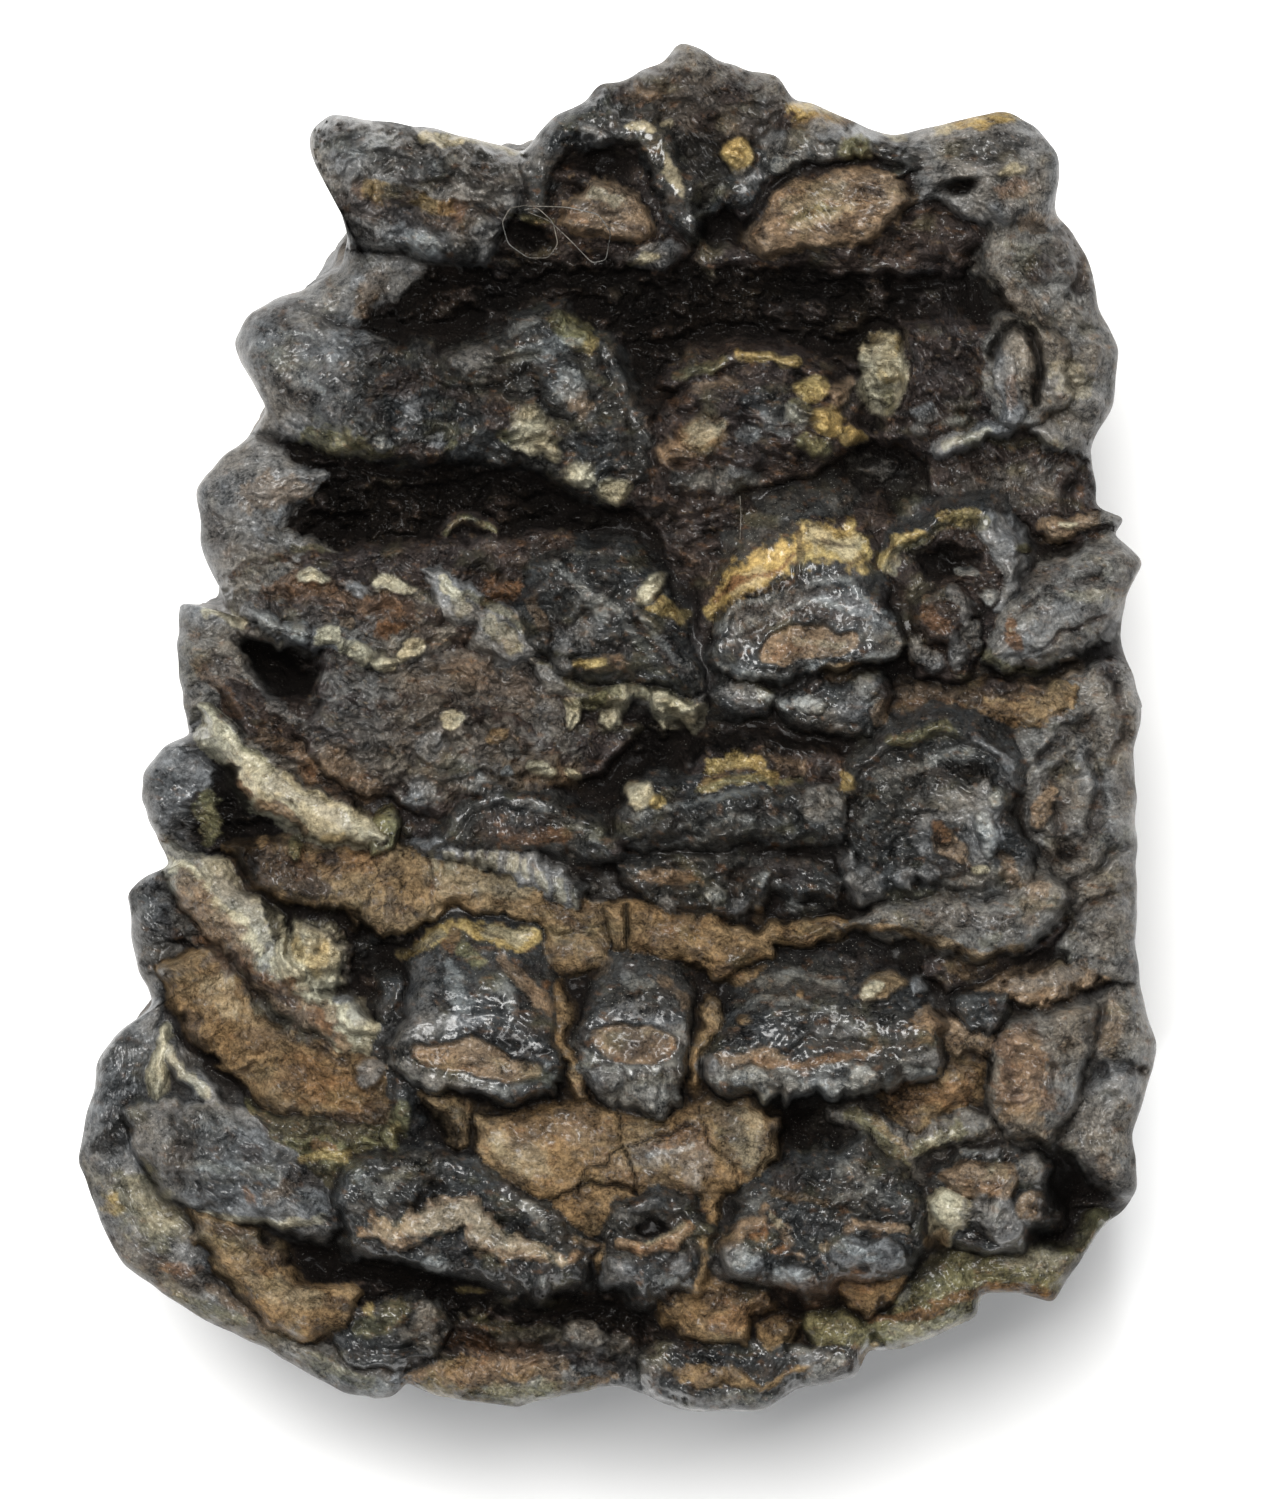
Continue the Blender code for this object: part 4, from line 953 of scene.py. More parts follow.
    # The pale glossy dabs on the arch's flank are painted glints
    face.paint([("olive", 0.6, [(895, 738, 5), (950, 728, 6)]), ("worn", 0.6, [(978, 735, 6),
        (1012, 780, 7)]), ("amber", 0.6, [(852, 778, 6), (846, 790, 5)]), ("pearl", 0.5, [(880, 778, 6),
        (930, 760, 6), (968, 750, 5)]), ("pearl", 0.4, [(862, 820, 5), (900, 790, 6)]),
        ("worn", 0.3, [(930, 800, 14), (975, 800, 14)]), ("pit", 0.8, [(950, 768, 8), (985, 770, 6)]),
        ("wall", 0.7, [(960, 885, 18), (1020, 880, 18)]), ("dentine", 0.7, [(1008, 862, 9),
        (1014, 885, 8)]), ("pit", 0.6, [(1012, 800, 5), (1020, 830, 4)]), ("pit", 0.5, [(890, 850, 5),
        (910, 890, 4)]), ("enamel", 0.6, [(880, 800, 16), (900, 840, 18), (870, 850, 14)])])
    face.knobs([(846, 828, 16, 10, 1.8, "enamel", 20), (842, 858, 14, 12, 1.6, "worn"),
        (852, 796, 12, 9, 1.6, "enamel", 30), (880, 815, 18, 12, 1, "enamel", -40),
        (905, 790, 18, 12, 1, "enamel", -40), (880, 850, 16, 12, 1, "enamel", -40),
        (948, 846, 30, 12, 1.2, "dentine", 38), (936, 834, 14, 8, 0.5, "rust", 38),
        (990, 832, 13, 25, 1.4, "pearl", -12), (996, 795, 10, 12, 0.9, "pearl"),
        (977, 866, 11, 8, 1, "cream"), (862, 884, 24, 24, 1.8, "worn"), (905, 878, 15, 14, 1.2, "worn"),
        (930, 872, 14, 12, 1, "worn"), (1047, 808, 10, 25, 1.6, "dentine", 6)])
    face.mound([(845, 928), (880, 905), (930, 896), (990, 892), (1048, 876), (1066, 900), (1038, 936),
        (1012, 956), (975, 956), (935, 944), (905, 930)], 50.8, "wall", 2.2, soft=30, lumps=0.2)
    face.paint([("wall", 0.4, [(880, 915, 16), (960, 925, 20)]), ("umber", 0.35, [(900, 912, 10),
        (1000, 920, 14)]), ("tan", 0.8, [(850, 930, 4), (896, 927, 4), (938, 944, 5), (985, 956, 5),
        (1020, 948, 5)]), ("dentine", 0.5, [(1025, 915, 12), (1035, 890, 10)])])
    face.mound([(930, 955), (980, 958), (1020, 950), (1060, 930), (1050, 950), (1000, 975), (950, 990),
        (925, 975)], 47.6, "umber", 1, soft=16, lumps=0.5)
    face.paint([("tan", 0.45, [(960, 968, 10), (990, 962, 8)])])
    face.slab([(605, 906), (640, 902), (700, 915), (745, 930), (770, 944), (768, 958), (745, 962),
        (722, 976), (700, 966), (650, 955), (612, 948)], 50.6, "tan", 0, 0, 0.5, cracks=15)
    face.slab([(755, 938), (770, 924), (850, 920), (852, 932), (800, 944)], 50, "tan", 0, 0, 0.5)
    face.slab([(724, 972), (745, 965), (768, 970), (760, 990), (735, 992)], 49, "tan", 0, 0, 0.5)
    face.paint([("umber", 0.5, [(660, 935, 12), (690, 925, 10)]), ("umber", 0.6, [(790, 932, 6),
        (835, 928, 5)]), ("umber", 0.6, [(720, 965, 8), (750, 955, 6)]),
        ("rust", 0.35, [(640, 945, 10)])])
    face.crack([(628, 905), (626, 955)], 1.6, 3.6)
    # Near-black in the valley behind this plate: painted shade
    face.paint([("pit", 0.8, [(690, 744, 8), (770, 746, 8), (850, 748, 8)])])


def row_five(face):
    """The fifth plate: a pale band and a honey ball at the left, three loops, a bar and a lump."""
    face.mound([(110, 735), (165, 732), (205, 748), (232, 775), (205, 805), (178, 838), (150, 855),
        (105, 830)], 38.6, "worn", 3, 0.01, 0, lumps=0.2, soft=40)
    face.mound([(100, 875), (145, 868), (188, 885), (192, 955), (170, 972), (175, 1030), (150, 1050),
        (105, 1000)], 37.4, "worn", 2.6, 0.01, 0, lumps=0.3, soft=30)
    # The near-black band at the left, under the plate's overhang, is painted shade
    face.paint([("enamel", 0.55, [(155, 775, 26), (185, 810, 12)]), ("enamel", 0.7, [(140, 900, 20),
        (150, 950, 18)]), ("pit", 0.9, [(222, 775, 12), (235, 820, 26), (245, 870, 14)]),
        ("pit", 0.8, [(186, 890, 6), (186, 950, 6)]), ("olive", 0.9, [(206, 800, 9), (214, 822, 8),
        (208, 842, 5)]), ("pit", 0.6, [(165, 985, 4), (175, 1030, 5)]), ("umber", 0.6, [(205, 808, 4)]),
        ("enamel", 0.5, [(165, 1000, 9)])])
    face.mound([(165, 965), (205, 952), (240, 985), (270, 1022), (330, 1038), (400, 1060), (445, 1090),
        (400, 1122), (330, 1130), (270, 1112), (245, 1076), (212, 1060), (185, 1030)], 44.8, "tan", 2.4,
        0.018, 0, lumps=0.6)
    face.paint([("umber", 0.6, [(188, 1020, 12), (200, 1040, 10)]), ("umber", 0.5, [(240, 1030, 5),
        (300, 1040, 5), (345, 1060, 5)]), ("rust", 0.4, [(300, 1075, 22), (360, 1095, 18)]),
        ("umber", 0.55, [(330, 1118, 10), (390, 1116, 10)]), ("cream", 0.3, [(215, 985, 12),
        (225, 1010, 10)])])
    face.pits([(228, 1088, 32, 20, 4, 20, "pit"), (208, 1060, 26, 8, 2.5, 6, "pit")])
    face.ridge([(156, 1036, 42.5, 4), (175, 1062, 43.5, 6), (195, 1088, 44.5, 7), (218, 1112, 45.5, 7),
        (250, 1125, 46.2, 6)], "worn", 0.25)
    face.paint([("cream", 0.6, [(158, 1040, 5), (180, 1070, 6), (200, 1094, 6)]),
        ("olive", 0.5, [(215, 1110, 6), (245, 1124, 6)])])
    face.mound([(140, 840), (185, 848), (222, 862), (250, 900), (284, 922), (292, 950), (300, 985),
        (350, 1000), (388, 1030), (372, 1052), (335, 1047), (300, 1030), (255, 990), (225, 962),
        (185, 905), (165, 870)], 43.8, "cream", 3, 0.03, 0, soft=22, lumps=0.35)
    face.paint([("wall", 0.8, [(165, 842, 10), (195, 858, 10)]), ("wall", 0.7, [(180, 890, 18),
        (215, 940, 20), (262, 988, 18), (320, 1030, 16)]), ("rust", 0.6, [(190, 900, 12),
        (225, 955, 14), (268, 992, 12), (320, 1030, 12)]), ("worn", 0.4, [(210, 870, 14),
        (250, 905, 14)]), ("dentine", 0.75, [(185, 880, 9), (208, 915, 16), (235, 945, 12)]),
        ("worn", 0.5, [(218, 880, 9), (250, 915, 9), (270, 945, 8)]), ("rust", 0.6, [(200, 938, 8)]),
        ("rust", 0.7, [(235, 962, 5), (275, 985, 6), (310, 1010, 7), (345, 1045, 5)]),
        ("umber", 0.7, [(225, 955, 5), (262, 985, 5), (292, 1000, 5)]), ("cream", 0.4, [(262, 1010, 8),
        (285, 1020, 6)]), ("umber", 0.5, [(300, 1030, 5), (330, 1045, 5)]),
        ("rust", 0.6, [(318, 1000, 10), (330, 1020, 8)]), ("pit", 0.8, [(262, 905, 5), (275, 925, 7),
        (278, 940, 5)]), ("enamel", 0.4, [(285, 990, 7)])])
    face.knobs([(318, 958, 42, 44, 3.4, "cream"), (318, 962, 26, 24, 0.4, "cream"),
        (362, 1016, 26, 20, 1.8, "cream"), (368, 1072, 17, 18, 1.6, "worn"),
        (345, 998, 16, 10, 1, "worn"), (300, 985, 16, 8, 0.6, "rust")])
    face.paint([("cream", 0.9, [(318, 940, 24), (320, 975, 24)]), ("amber", 0.5, [(300, 940, 6),
        (322, 932, 5), (340, 950, 6)]), ("worn", 0.5, [(310, 925, 6), (345, 940, 6), (352, 975, 6)]),
        ("worn", 0.5, [(360, 1012, 12)]), ("pit", 0.8, [(288, 918, 6), (320, 905, 8), (350, 918, 8),
        (378, 945, 8)]), ("enamel", 0.7, [(370, 950, 12), (385, 970, 10)]),
        ("umber", 0.5, [(365, 985, 6), (385, 990, 5)]), ("pearl", 0.5, [(272, 952, 6), (262, 962, 5)])])
    face.knob(314, 955, 33, 33, 2.2, "cream")
    face.paint([("amber", 0.5, [(300, 944, 5), (318, 966, 7), (330, 940, 4)]),
        ("pearl", 0.4, [(306, 938, 4)]), ("umber", 0.7, [(352, 930, 4), (356, 960, 5), (340, 988, 4)])])
    face.slab([(545, 930), (600, 935), (600, 960), (560, 975), (540, 960)], 49.4, "tan", 0, 0, 0.4)
    face.paint([("pit", 0.7, [(610, 945, 5), (640, 960, 4), (700, 972, 5)]),
        ("umber", 0.6, [(560, 950, 10)])])
    face.mound([(380, 985), (400, 978), (405, 1050), (430, 1095), (420, 1140), (392, 1120),
        (372, 1050)], 48.6, "enamel", 1.6, lumps=0.6)
    face.lobe(478, 1060, 74, 17, 54.6, 7, ring=12, lip=14, back=132, fall=9, bow=96, basin=0.5,
        ribs=0.12, seed=43)
    # The pale glossy dabs on this loop's dome are painted glints
    face.paint([("worn", 0.45, [(425, 975, 16), (415, 1010, 12)]), ("pearl", 0.5, [(452, 960, 6),
        (460, 1000, 9)]), ("pearl", 0.45, [(500, 985, 9), (510, 1010, 6)]),
        ("worn", 0.7, [(395, 1035, 10), (430, 1022, 12), (470, 1020, 7)]),
        ("amber", 0.95, [(410, 952, 6), (428, 936, 9), (450, 924, 7)]), ("cream", 0.6, [(415, 948, 4),
        (440, 930, 5)]), ("amber", 0.95, [(464, 922, 8), (492, 932, 12), (525, 944, 10)]),
        ("cream", 0.7, [(490, 930, 8), (520, 940, 8)]), ("rust", 0.8, [(455, 931, 7), (448, 946, 6)]),
        ("umber", 0.7, [(425, 944, 2), (446, 932, 2)]), ("umber", 0.7, [(462, 930, 2), (480, 950, 2)]),
        ("umber", 0.6, [(478, 922, 2), (500, 940, 2)]), ("olive", 0.8, [(462, 946, 6), (482, 962, 7)]),
        ("dentine", 0.75, [(500, 960, 7), (530, 985, 9), (548, 1010, 7)]),
        ("rust", 0.6, [(545, 985, 5)]), ("worn", 0.6, [(405, 1066, 5), (440, 1082, 5), (490, 1096, 4)]),
        ("pit", 0.7, [(470, 1038, 3), (520, 1040, 4), (550, 1050, 3)])])
    face.knobs([(538, 1098, 28, 23, 2.4, "enamel"), (478, 1092, 26, 10, 0.9, "worn", 6),
        (552, 1062, 18, 9, 0.8, "enamel", 14), (506, 1104, 12, 12, 1, "enamel")])
    # The pale glossy dabs on this bead are painted highlights
    face.paint([("pearl", 0.7, [(545, 1104, 8)]), ("pearl", 0.5, [(548, 1066, 5)])])
    face.lobe(636, 1044, 44, 20, 53.6, 3, ring=12, lip=44, back=76, fall=6.5, bow=48, basin=0.5,
        bead=95, ribs=0.12, seed=44)
    face.furrows([[(596 + 14 * k, 1072), (600 + 12 * k, 1108)] for k in range(7)], 0.35, 3)
    face.paint([("umber", 0.55, [(620, 1045, 16), (660, 1045, 14)]), ("worn", 0.6, [(612, 1012, 6),
        (640, 1004, 6)]), ("worn", 0.7, [(645, 1020, 6), (680, 1028, 8), (695, 1040, 5)]),
        ("pearl", 0.4, [(625, 975, 6), (650, 985, 6)]), ("dentine", 0.5, [(665, 985, 6),
        (680, 1000, 5)]), ("worn", 0.5, [(600, 1075, 10), (625, 1090, 10)]),
        ("dentine", 0.4, [(590, 975, 5), (605, 962, 5)]), ("worn", 0.6, [(585, 1080, 10),
        (630, 1092, 18), (680, 1084, 10)]), ("pearl", 0.3, [(600, 1092, 6), (665, 1100, 6)])])
    face.knobs([(648, 1104, 24, 20, 2, "worn"), (606, 1084, 18, 13, 1.2, "worn"),
        (682, 1088, 16, 16, 1.2, "enamel"), (690, 1066, 12, 18, 1, "enamel")])
    # The pale glossy dabs on the lip's beads are painted glints
    face.paint([("pearl", 0.6, [(640, 1104, 6)]), ("pearl", 0.7, [(664, 1092, 6)])])
    face.ridges([([(556, 985, 49.5, 6), (562, 1012, 51, 8), (562, 1040, 52, 7), (576, 1064, 52.2, 4),
        (582, 1098, 51.8, 5)], "tan", 0.5, 0.5), ([(712, 1005, 51, 9), (712, 1028, 51.8, 7),
        (702, 1048, 52.2, 3), (700, 1088, 51.8, 3)], "tan", 0.5, 0.5)])
    face.lobe(825, 1052, 100, 13, 54, -3, ring=10, lip=30, back=76, fall=7, bow=54, basin=0.5,
        core="enamel", ribs=0.26, bead=34, seed=45)
    face.ridge([(722, 1064, 53.2, 7), (745, 1054, 53.8, 13), (765, 1054, 54, 14), (785, 1062, 53.8, 9),
        (815, 1064, 53.8, 6), (850, 1056, 53.8, 6), (880, 1046, 53.6, 6), (892, 1034, 53, 4)],
        "dentine", 0.4, 0.45)
    face.mound([(895, 1034), (905, 1020), (925, 1018), (938, 1030), (930, 1045), (905, 1046)], 52.8,
        "dentine", 0.9, soft=10, lumps=0.2)
    # The pale glossy dabs on this flank are painted glints
    face.paint([("rust", 0.4, [(750, 1058, 5), (800, 1064, 4), (860, 1056, 4)]),
        ("pearl", 0.4, [(760, 985, 5), (800, 970, 6), (840, 985, 5)]), ("pearl", 0.35, [(725, 1018, 4),
        (760, 1000, 4), (820, 1008, 4), (870, 1030, 4)]), ("worn", 0.6, [(770, 1092, 9), (830, 1096, 9),
        (870, 1088, 8)]), ("worn", 0.4, [(825, 1035, 5), (870, 1030, 5)]),
        ("umber", 0.6, [(850, 965, 10), (900, 960, 8)])])
    face.knobs([(752, 1076, 26, 13, 1.6, "pearl", 10), (782, 1086, 18, 13, 1.6, "worn"),
        (822, 1090, 25, 17, 2.2, "worn"), (860, 1080, 19, 17, 2, "pearl"),
        (888, 1070, 16, 14, 1.4, "enamel"), (712, 1070, 12, 14, 1.2, "worn"),
        (770, 1094, 18, 12, 1.4, "pearl"), (800, 1096, 20, 12, 1.6, "worn"),
        (842, 1094, 18, 12, 1.6, "pearl"), (732, 1092, 16, 16, 1.2, "enamel"),
        (880, 986, 26, 15, 1.6, "tan", -8), (872, 990, 14, 9, 0.5, "cream"),
        (918, 985, 14, 12, 1.4, "worn"), (938, 1002, 14, 12, 1.3, "worn"),
        (910, 1004, 12, 9, 1, "enamel"), (926, 1060, 16, 9, 1, "worn"), (745, 1018, 8, 6, 0.8, "tan"),
        (798, 998, 6, 6, 0.4, "tan")])
    face.mound([(958, 1010), (970, 990), (1000, 992), (1010, 1015), (990, 1035), (968, 1030)], 50.2,
        "enamel", 1.4, soft=14, lumps=0.4)
    face.mound([(925, 1040), (950, 1020), (1000, 1035), (990, 1050), (950, 1052)], 49.4, "dentine", 0.8,
        soft=12, lumps=0.4)
    face.ridge([(988, 992, 49.8, 9), (1020, 990, 50, 12), (1060, 982, 48.6, 13), (1100, 965, 46, 13),
        (1140, 940, 43, 12)], "dentine", 0.35, 0.4)
    face.paint([("wall", 0.5, [(1010, 986, 6), (1080, 970, 8)]), ("pit", 0.7, [(960, 992, 4),
        (1000, 972, 4), (1050, 950, 5)]), ("wall", 0.5, [(1080, 952, 12), (1100, 945, 10)]),
        ("pit", 0.6, [(1000, 1008, 4), (1060, 1004, 4), (1110, 985, 4)])])
    face.mound([(990, 1060), (1005, 1028), (1040, 1010), (1085, 1010), (1090, 1050), (1070, 1110),
        (1046, 1142), (1008, 1140), (992, 1100)], 49.4, "wall", 2.4, -0.01, 0, soft=34, lumps=0.6)
    face.paint([("rust", 0.5, [(1020, 1050, 24), (1030, 1100, 24)]), ("dentine", 0.4, [(1025, 1040, 12),
        (1035, 1090, 12)]), ("wall", 0.6, [(1060, 1030, 22), (1075, 1075, 12)]),
        ("umber", 0.5, [(1005, 1060, 5), (1020, 1090, 6)]), ("tan", 0.5, [(1015, 1115, 16),
        (1035, 1125, 12)]), ("umber", 0.5, [(1050, 1050, 5), (1045, 1090, 5)]),
        ("pit", 0.7, [(985, 1050, 6), (990, 1075, 5)]), ("umber", 0.5, [(1000, 1015, 10),
        (1030, 1020, 8)]), ("pearl", 0.5, [(618, 1088, 9), (650, 1094, 10), (680, 1088, 9)]),
        ("pearl", 0.5, [(785, 1086, 8), (840, 1090, 9), (895, 1086, 8)])])


def cement_bridge(face):
    """The flat, cracked cement that fills the valley between the fifth and the sixth plate."""
    face.slab([(478, 1120), (520, 1112), (585, 1105), (640, 1118), (690, 1105), (745, 1100),
        (775, 1120), (772, 1160), (735, 1185), (700, 1192), (640, 1192), (625, 1205), (610, 1225),
        (585, 1236), (560, 1225), (548, 1200), (505, 1178), (480, 1150)], 51.2, "tan", 0, 0, 0.5)
    face.paint([("dentine", 0.5, [(560, 1130, 16), (585, 1145, 12)]), ("dentine", 0.7, [(650, 1150, 14),
        (690, 1150, 22), (700, 1170, 16)]), ("umber", 0.6, [(660, 1135, 6), (695, 1128, 8)]),
        ("cream", 0.25, [(530, 1160, 16), (500, 1140, 10)]), ("dentine", 0.5, [(600, 1165, 14),
        (620, 1175, 10)]), ("cream", 0.3, [(740, 1120, 14), (745, 1150, 12)]),
        ("umber", 0.4, [(520, 1140, 8), (545, 1125, 6)]), ("rust", 0.35, [(610, 1185, 8),
        (650, 1180, 8)]), ("umber", 0.5, [(720, 1110, 10), (735, 1135, 8)]),
        ("wall", 0.5, [(645, 1160, 14), (690, 1156, 20), (700, 1174, 14)]),
        ("rust", 0.4, [(660, 1146, 12), (700, 1140, 14)]), ("umber", 0.35, [(520, 1130, 16),
        (600, 1125, 18)]), ("pearl", 0.5, [(645, 1158, 3), (690, 1150, 4)])])
    face.cracks([([(622, 1112), (625, 1150), (632, 1192)], 0.8, 2.6), ([(622, 1150), (604, 1156),
        (598, 1170), (584, 1178), (582, 1195)], 0.7, 2.4), ([(545, 1204), (560, 1192), (600, 1188),
        (632, 1192)], 0.9, 2.8), ([(700, 1105), (708, 1130), (706, 1145), (730, 1160), (738, 1182)],
        0.6, 2.4), ([(632, 1146), (660, 1136), (695, 1124)], 0.5)])
    face.slab([(420, 1088), (440, 1084), (468, 1094), (474, 1115), (466, 1142), (446, 1142),
        (440, 1118), (424, 1104)], 50.6, "tan", 0, 0, 0.5)
    face.slab([(862, 1082), (885, 1062), (940, 1050), (985, 1058), (996, 1088), (962, 1108),
        (930, 1130), (905, 1122), (880, 1104)], 49.2, "tan", 0, 0, 0.35, cracks=15)
    face.paint([("rust", 0.55, [(900, 1100, 14), (960, 1095, 14)]), ("umber", 0.5, [(940, 1060, 8),
        (975, 1075, 8)]), ("umber", 0.6, [(915, 1122, 7)])])
    face.pits([(806, 1132, 44, 26, 2.5, -4, "pit"), (430, 1168, 44, 10, 1.2, 10, "pit")])
    face.ridges([([(835, 1112, 48.6, 9), (870, 1122, 49.4, 12), (898, 1145, 49.6, 12),
        (914, 1180, 49.4, 9), (922, 1215, 49.2, 5)], "wall", 0.2, 0.25), ([(905, 1160, 49, 7),
        (925, 1142, 49.4, 10), (950, 1130, 49.6, 10), (985, 1120, 49.2, 8)], "wall", 0.25)])
    face.paint([("olive", 0.75, [(850, 1114, 8), (885, 1132, 11), (908, 1165, 8)]),
        ("olive", 0.7, [(918, 1150, 8), (955, 1130, 9)]), ("tan", 0.5, [(880, 1120, 5),
        (908, 1150, 5)]), ("cream", 0.5, [(930, 1142, 6), (950, 1132, 5)]),
        ("umber", 0.5, [(760, 1135, 8), (790, 1110, 6)])])


def row_six(face):
    """The sixth plate: a pale lump at the left, an arch with a winding ridge of dentine, and loops."""
    face.mound([(125, 1110), (165, 1095), (205, 1106), (255, 1112), (300, 1150), (330, 1190),
        (345, 1226), (300, 1236), (240, 1228), (200, 1218), (160, 1190), (130, 1150)], 44.6, "worn", 4,
        0.018, 0, lumps=0.6)
    face.mound([(255, 1112), (330, 1120), (385, 1125), (400, 1150), (350, 1180), (320, 1195),
        (285, 1160)], 47, "olive", 1.6, soft=24, lumps=0.8)
    face.paint([("umber", 0.6, [(190, 1140, 14), (180, 1165, 12)]), ("enamel", 0.6, [(180, 1120, 16),
        (230, 1150, 22), (290, 1175, 18)]), ("enamel", 0.45, [(160, 1160, 14), (215, 1200, 14)]),
        ("pearl", 0.3, [(230, 1125, 10), (205, 1120, 8)]), ("pearl", 0.5, [(205, 1170, 5),
        (240, 1165, 6), (280, 1180, 5)]), ("enamel", 0.6, [(195, 1190, 8), (250, 1185, 7),
        (300, 1200, 7)]), ("rust", 0.7, [(248, 1196, 8)]), ("dentine", 0.4, [(270, 1200, 8),
        (290, 1190, 7)]), ("cream", 0.6, [(198, 1214, 4), (235, 1224, 5), (280, 1226, 5),
        (322, 1218, 4)]), ("umber", 0.6, [(270, 1120, 12), (350, 1130, 14)]),
        ("rust", 0.7, [(312, 1148, 8), (332, 1150, 6)]), ("amber", 0.6, [(345, 1158, 7),
        (300, 1160, 5)]), ("umber", 0.5, [(300, 1175, 12), (340, 1185, 9)]),
        ("rust", 0.4, [(345, 1195, 7)]), ("umber", 0.5, [(250, 1150, 10)])])
    face.ridge([(162, 1036, 43, 4), (158, 1080, 43, 4), (160, 1130, 43.5, 4), (168, 1172, 44, 5)],
        "cream", 0.3)
    face.knobs([(396, 1128, 15, 30, 1.6, "olive", 24), (330, 1222, 16, 12, 1.2, "enamel"),
        (326, 1238, 14, 9, 1, "worn")])
    face.paint([("pit", 0.85, [(425, 1110, 10), (455, 1135, 8), (440, 1150, 7)]),
        ("amber", 0.4, [(392, 1130, 6)])])
    face.mound([(338, 1215), (345, 1180), (375, 1155), (430, 1148), (482, 1156), (520, 1190),
        (565, 1215), (600, 1245), (590, 1275), (540, 1300), (500, 1285), (455, 1272), (400, 1258),
        (350, 1245)], 49.8, "enamel", 2.8, lumps=0.8, soft=30)
    face.ridge([(345, 1205, 51.6, 6), (362, 1178, 52.4, 8), (395, 1165, 52.6, 8), (440, 1162, 52.4, 7),
        (490, 1180, 52.2, 7), (535, 1215, 52, 8), (560, 1235, 51.6, 6)], "enamel", 0.3, 0.35)
    face.paint([("pearl", 0.5, [(365, 1180, 6), (385, 1190, 8), (400, 1170, 6)]),
        ("pearl", 0.4, [(350, 1212, 5), (385, 1205, 6)]), ("pearl", 0.45, [(545, 1225, 6),
        (530, 1205, 5)]), ("pit", 0.8, [(410, 1200, 6), (440, 1186, 6)])])
    face.ridge([(358, 1230, 52.4, 4), (376, 1222, 53, 9), (398, 1232, 53.4, 14), (424, 1222, 53.6, 15),
        (440, 1214, 53.8, 15), (472, 1208, 53.8, 15), (486, 1234, 53.6, 15), (500, 1250, 53.4, 12),
        (535, 1254, 53.2, 9), (572, 1256, 53, 8)], "dentine", 0.45, 0.5)
    face.paint([("cream", 0.25, [(380, 1225, 9), (425, 1222, 12), (475, 1212, 13), (490, 1240, 10),
        (560, 1256, 6)]), ("rust", 0.4, [(485, 1254, 7)]), ("rust", 0.4, [(570, 1254, 5)])])
    face.knobs([(440, 1262, 11, 12, 1.4, "pearl"), (474, 1268, 22, 13, 1.4, "enamel", 10),
        (512, 1274, 18, 12, 1.2, "enamel"), (541, 1290, 10, 18, 1.6, "worn"),
        (566, 1272, 24, 14, 1.2, "enamel", -8), (366, 1252, 14, 11, 1, "worn"),
        (540, 1284, 6, 8, 0.6, "pearl"), (350, 1240, 10, 9, 0.8, "enamel")])
    face.paint([("pit", 0.85, [(400, 1275, 12), (440, 1290, 12), (480, 1300, 12)]),
        ("tan", 0.5, [(575, 1240, 4), (598, 1245, 4)])])
    face.mound([(602, 1240), (610, 1212), (645, 1196), (690, 1200), (712, 1225), (712, 1262),
        (700, 1292), (655, 1300), (612, 1280)], 49.6, "enamel", 2.4, lumps=0.6, soft=24)
    face.ridge([(606, 1234, 52, 5), (618, 1212, 52.6, 7), (650, 1202, 52.8, 7), (690, 1208, 52.6, 6),
        (706, 1235, 52, 5)], "enamel", 0.3, 0.4)
    face.pit(655, 1224, 30, 9, 1.6, -4, "pit")
    face.ridge([(622, 1242, 52.6, 5), (645, 1246, 53, 8), (672, 1242, 53, 9), (692, 1230, 52.8, 7)],
        "dentine", 0.4, 0.45)
    face.paint([("rust", 0.5, [(635, 1248, 5), (670, 1246, 6)]), ("cream", 0.35, [(650, 1238, 3),
        (690, 1226, 4)]), ("pearl", 0.5, [(625, 1262, 8)]), ("worn", 0.4, [(620, 1215, 5),
        (655, 1204, 5)])])
    face.knobs([(618, 1270, 18, 16, 1.6, "worn"), (650, 1278, 20, 16, 1.8, "enamel"),
        (682, 1268, 14, 14, 1.4, "worn"), (668, 1286, 12, 10, 1, "pearl"),
        (694, 1262, 9, 16, 1, "enamel")])
    face.ridges([([(600, 1190, 49.6, 4), (604, 1222, 50.4, 3), (602, 1262, 50.4, 3)], "tan", 0.5, 0.5),
        ([(712, 1188, 50, 7), (708, 1222, 51, 5), (704, 1262, 51.4, 4), (700, 1290, 51, 4)],
        "tan", 0.5, 0.5)])
    face.mound([(722, 1240), (730, 1195), (760, 1168), (810, 1150), (870, 1138), (908, 1160),
        (926, 1205), (924, 1250), (900, 1272), (820, 1296), (760, 1290), (728, 1280)], 49.6, "enamel",
        4, 0, 0.004, lumps=0.7, soft=50)
    face.ridge([(728, 1248, 52.6, 5), (744, 1226, 53.4, 7), (760, 1212, 53.8, 7), (778, 1228, 53.8, 8),
        (792, 1248, 53.6, 7), (814, 1258, 53.4, 7), (832, 1242, 53.6, 6), (858, 1226, 53.8, 6),
        (902, 1230, 53.4, 5)], "dentine", 0.45, 0.5)
    face.mound([(748, 1232), (760, 1216), (776, 1228), (792, 1250), (775, 1256), (758, 1246)], 53.2,
        "rust", 0.3, soft=8, lumps=0.1)
    face.knobs([(738, 1262, 27, 23, 2.2, "worn", -8), (797, 1280, 29, 16, 2.2, "worn", 4),
        (850, 1252, 22, 19, 2, "worn"), (880, 1256, 20, 19, 2, "worn"),
        (904, 1262, 14, 14, 1.4, "enamel"), (778, 1268, 14, 12, 1, "enamel")])
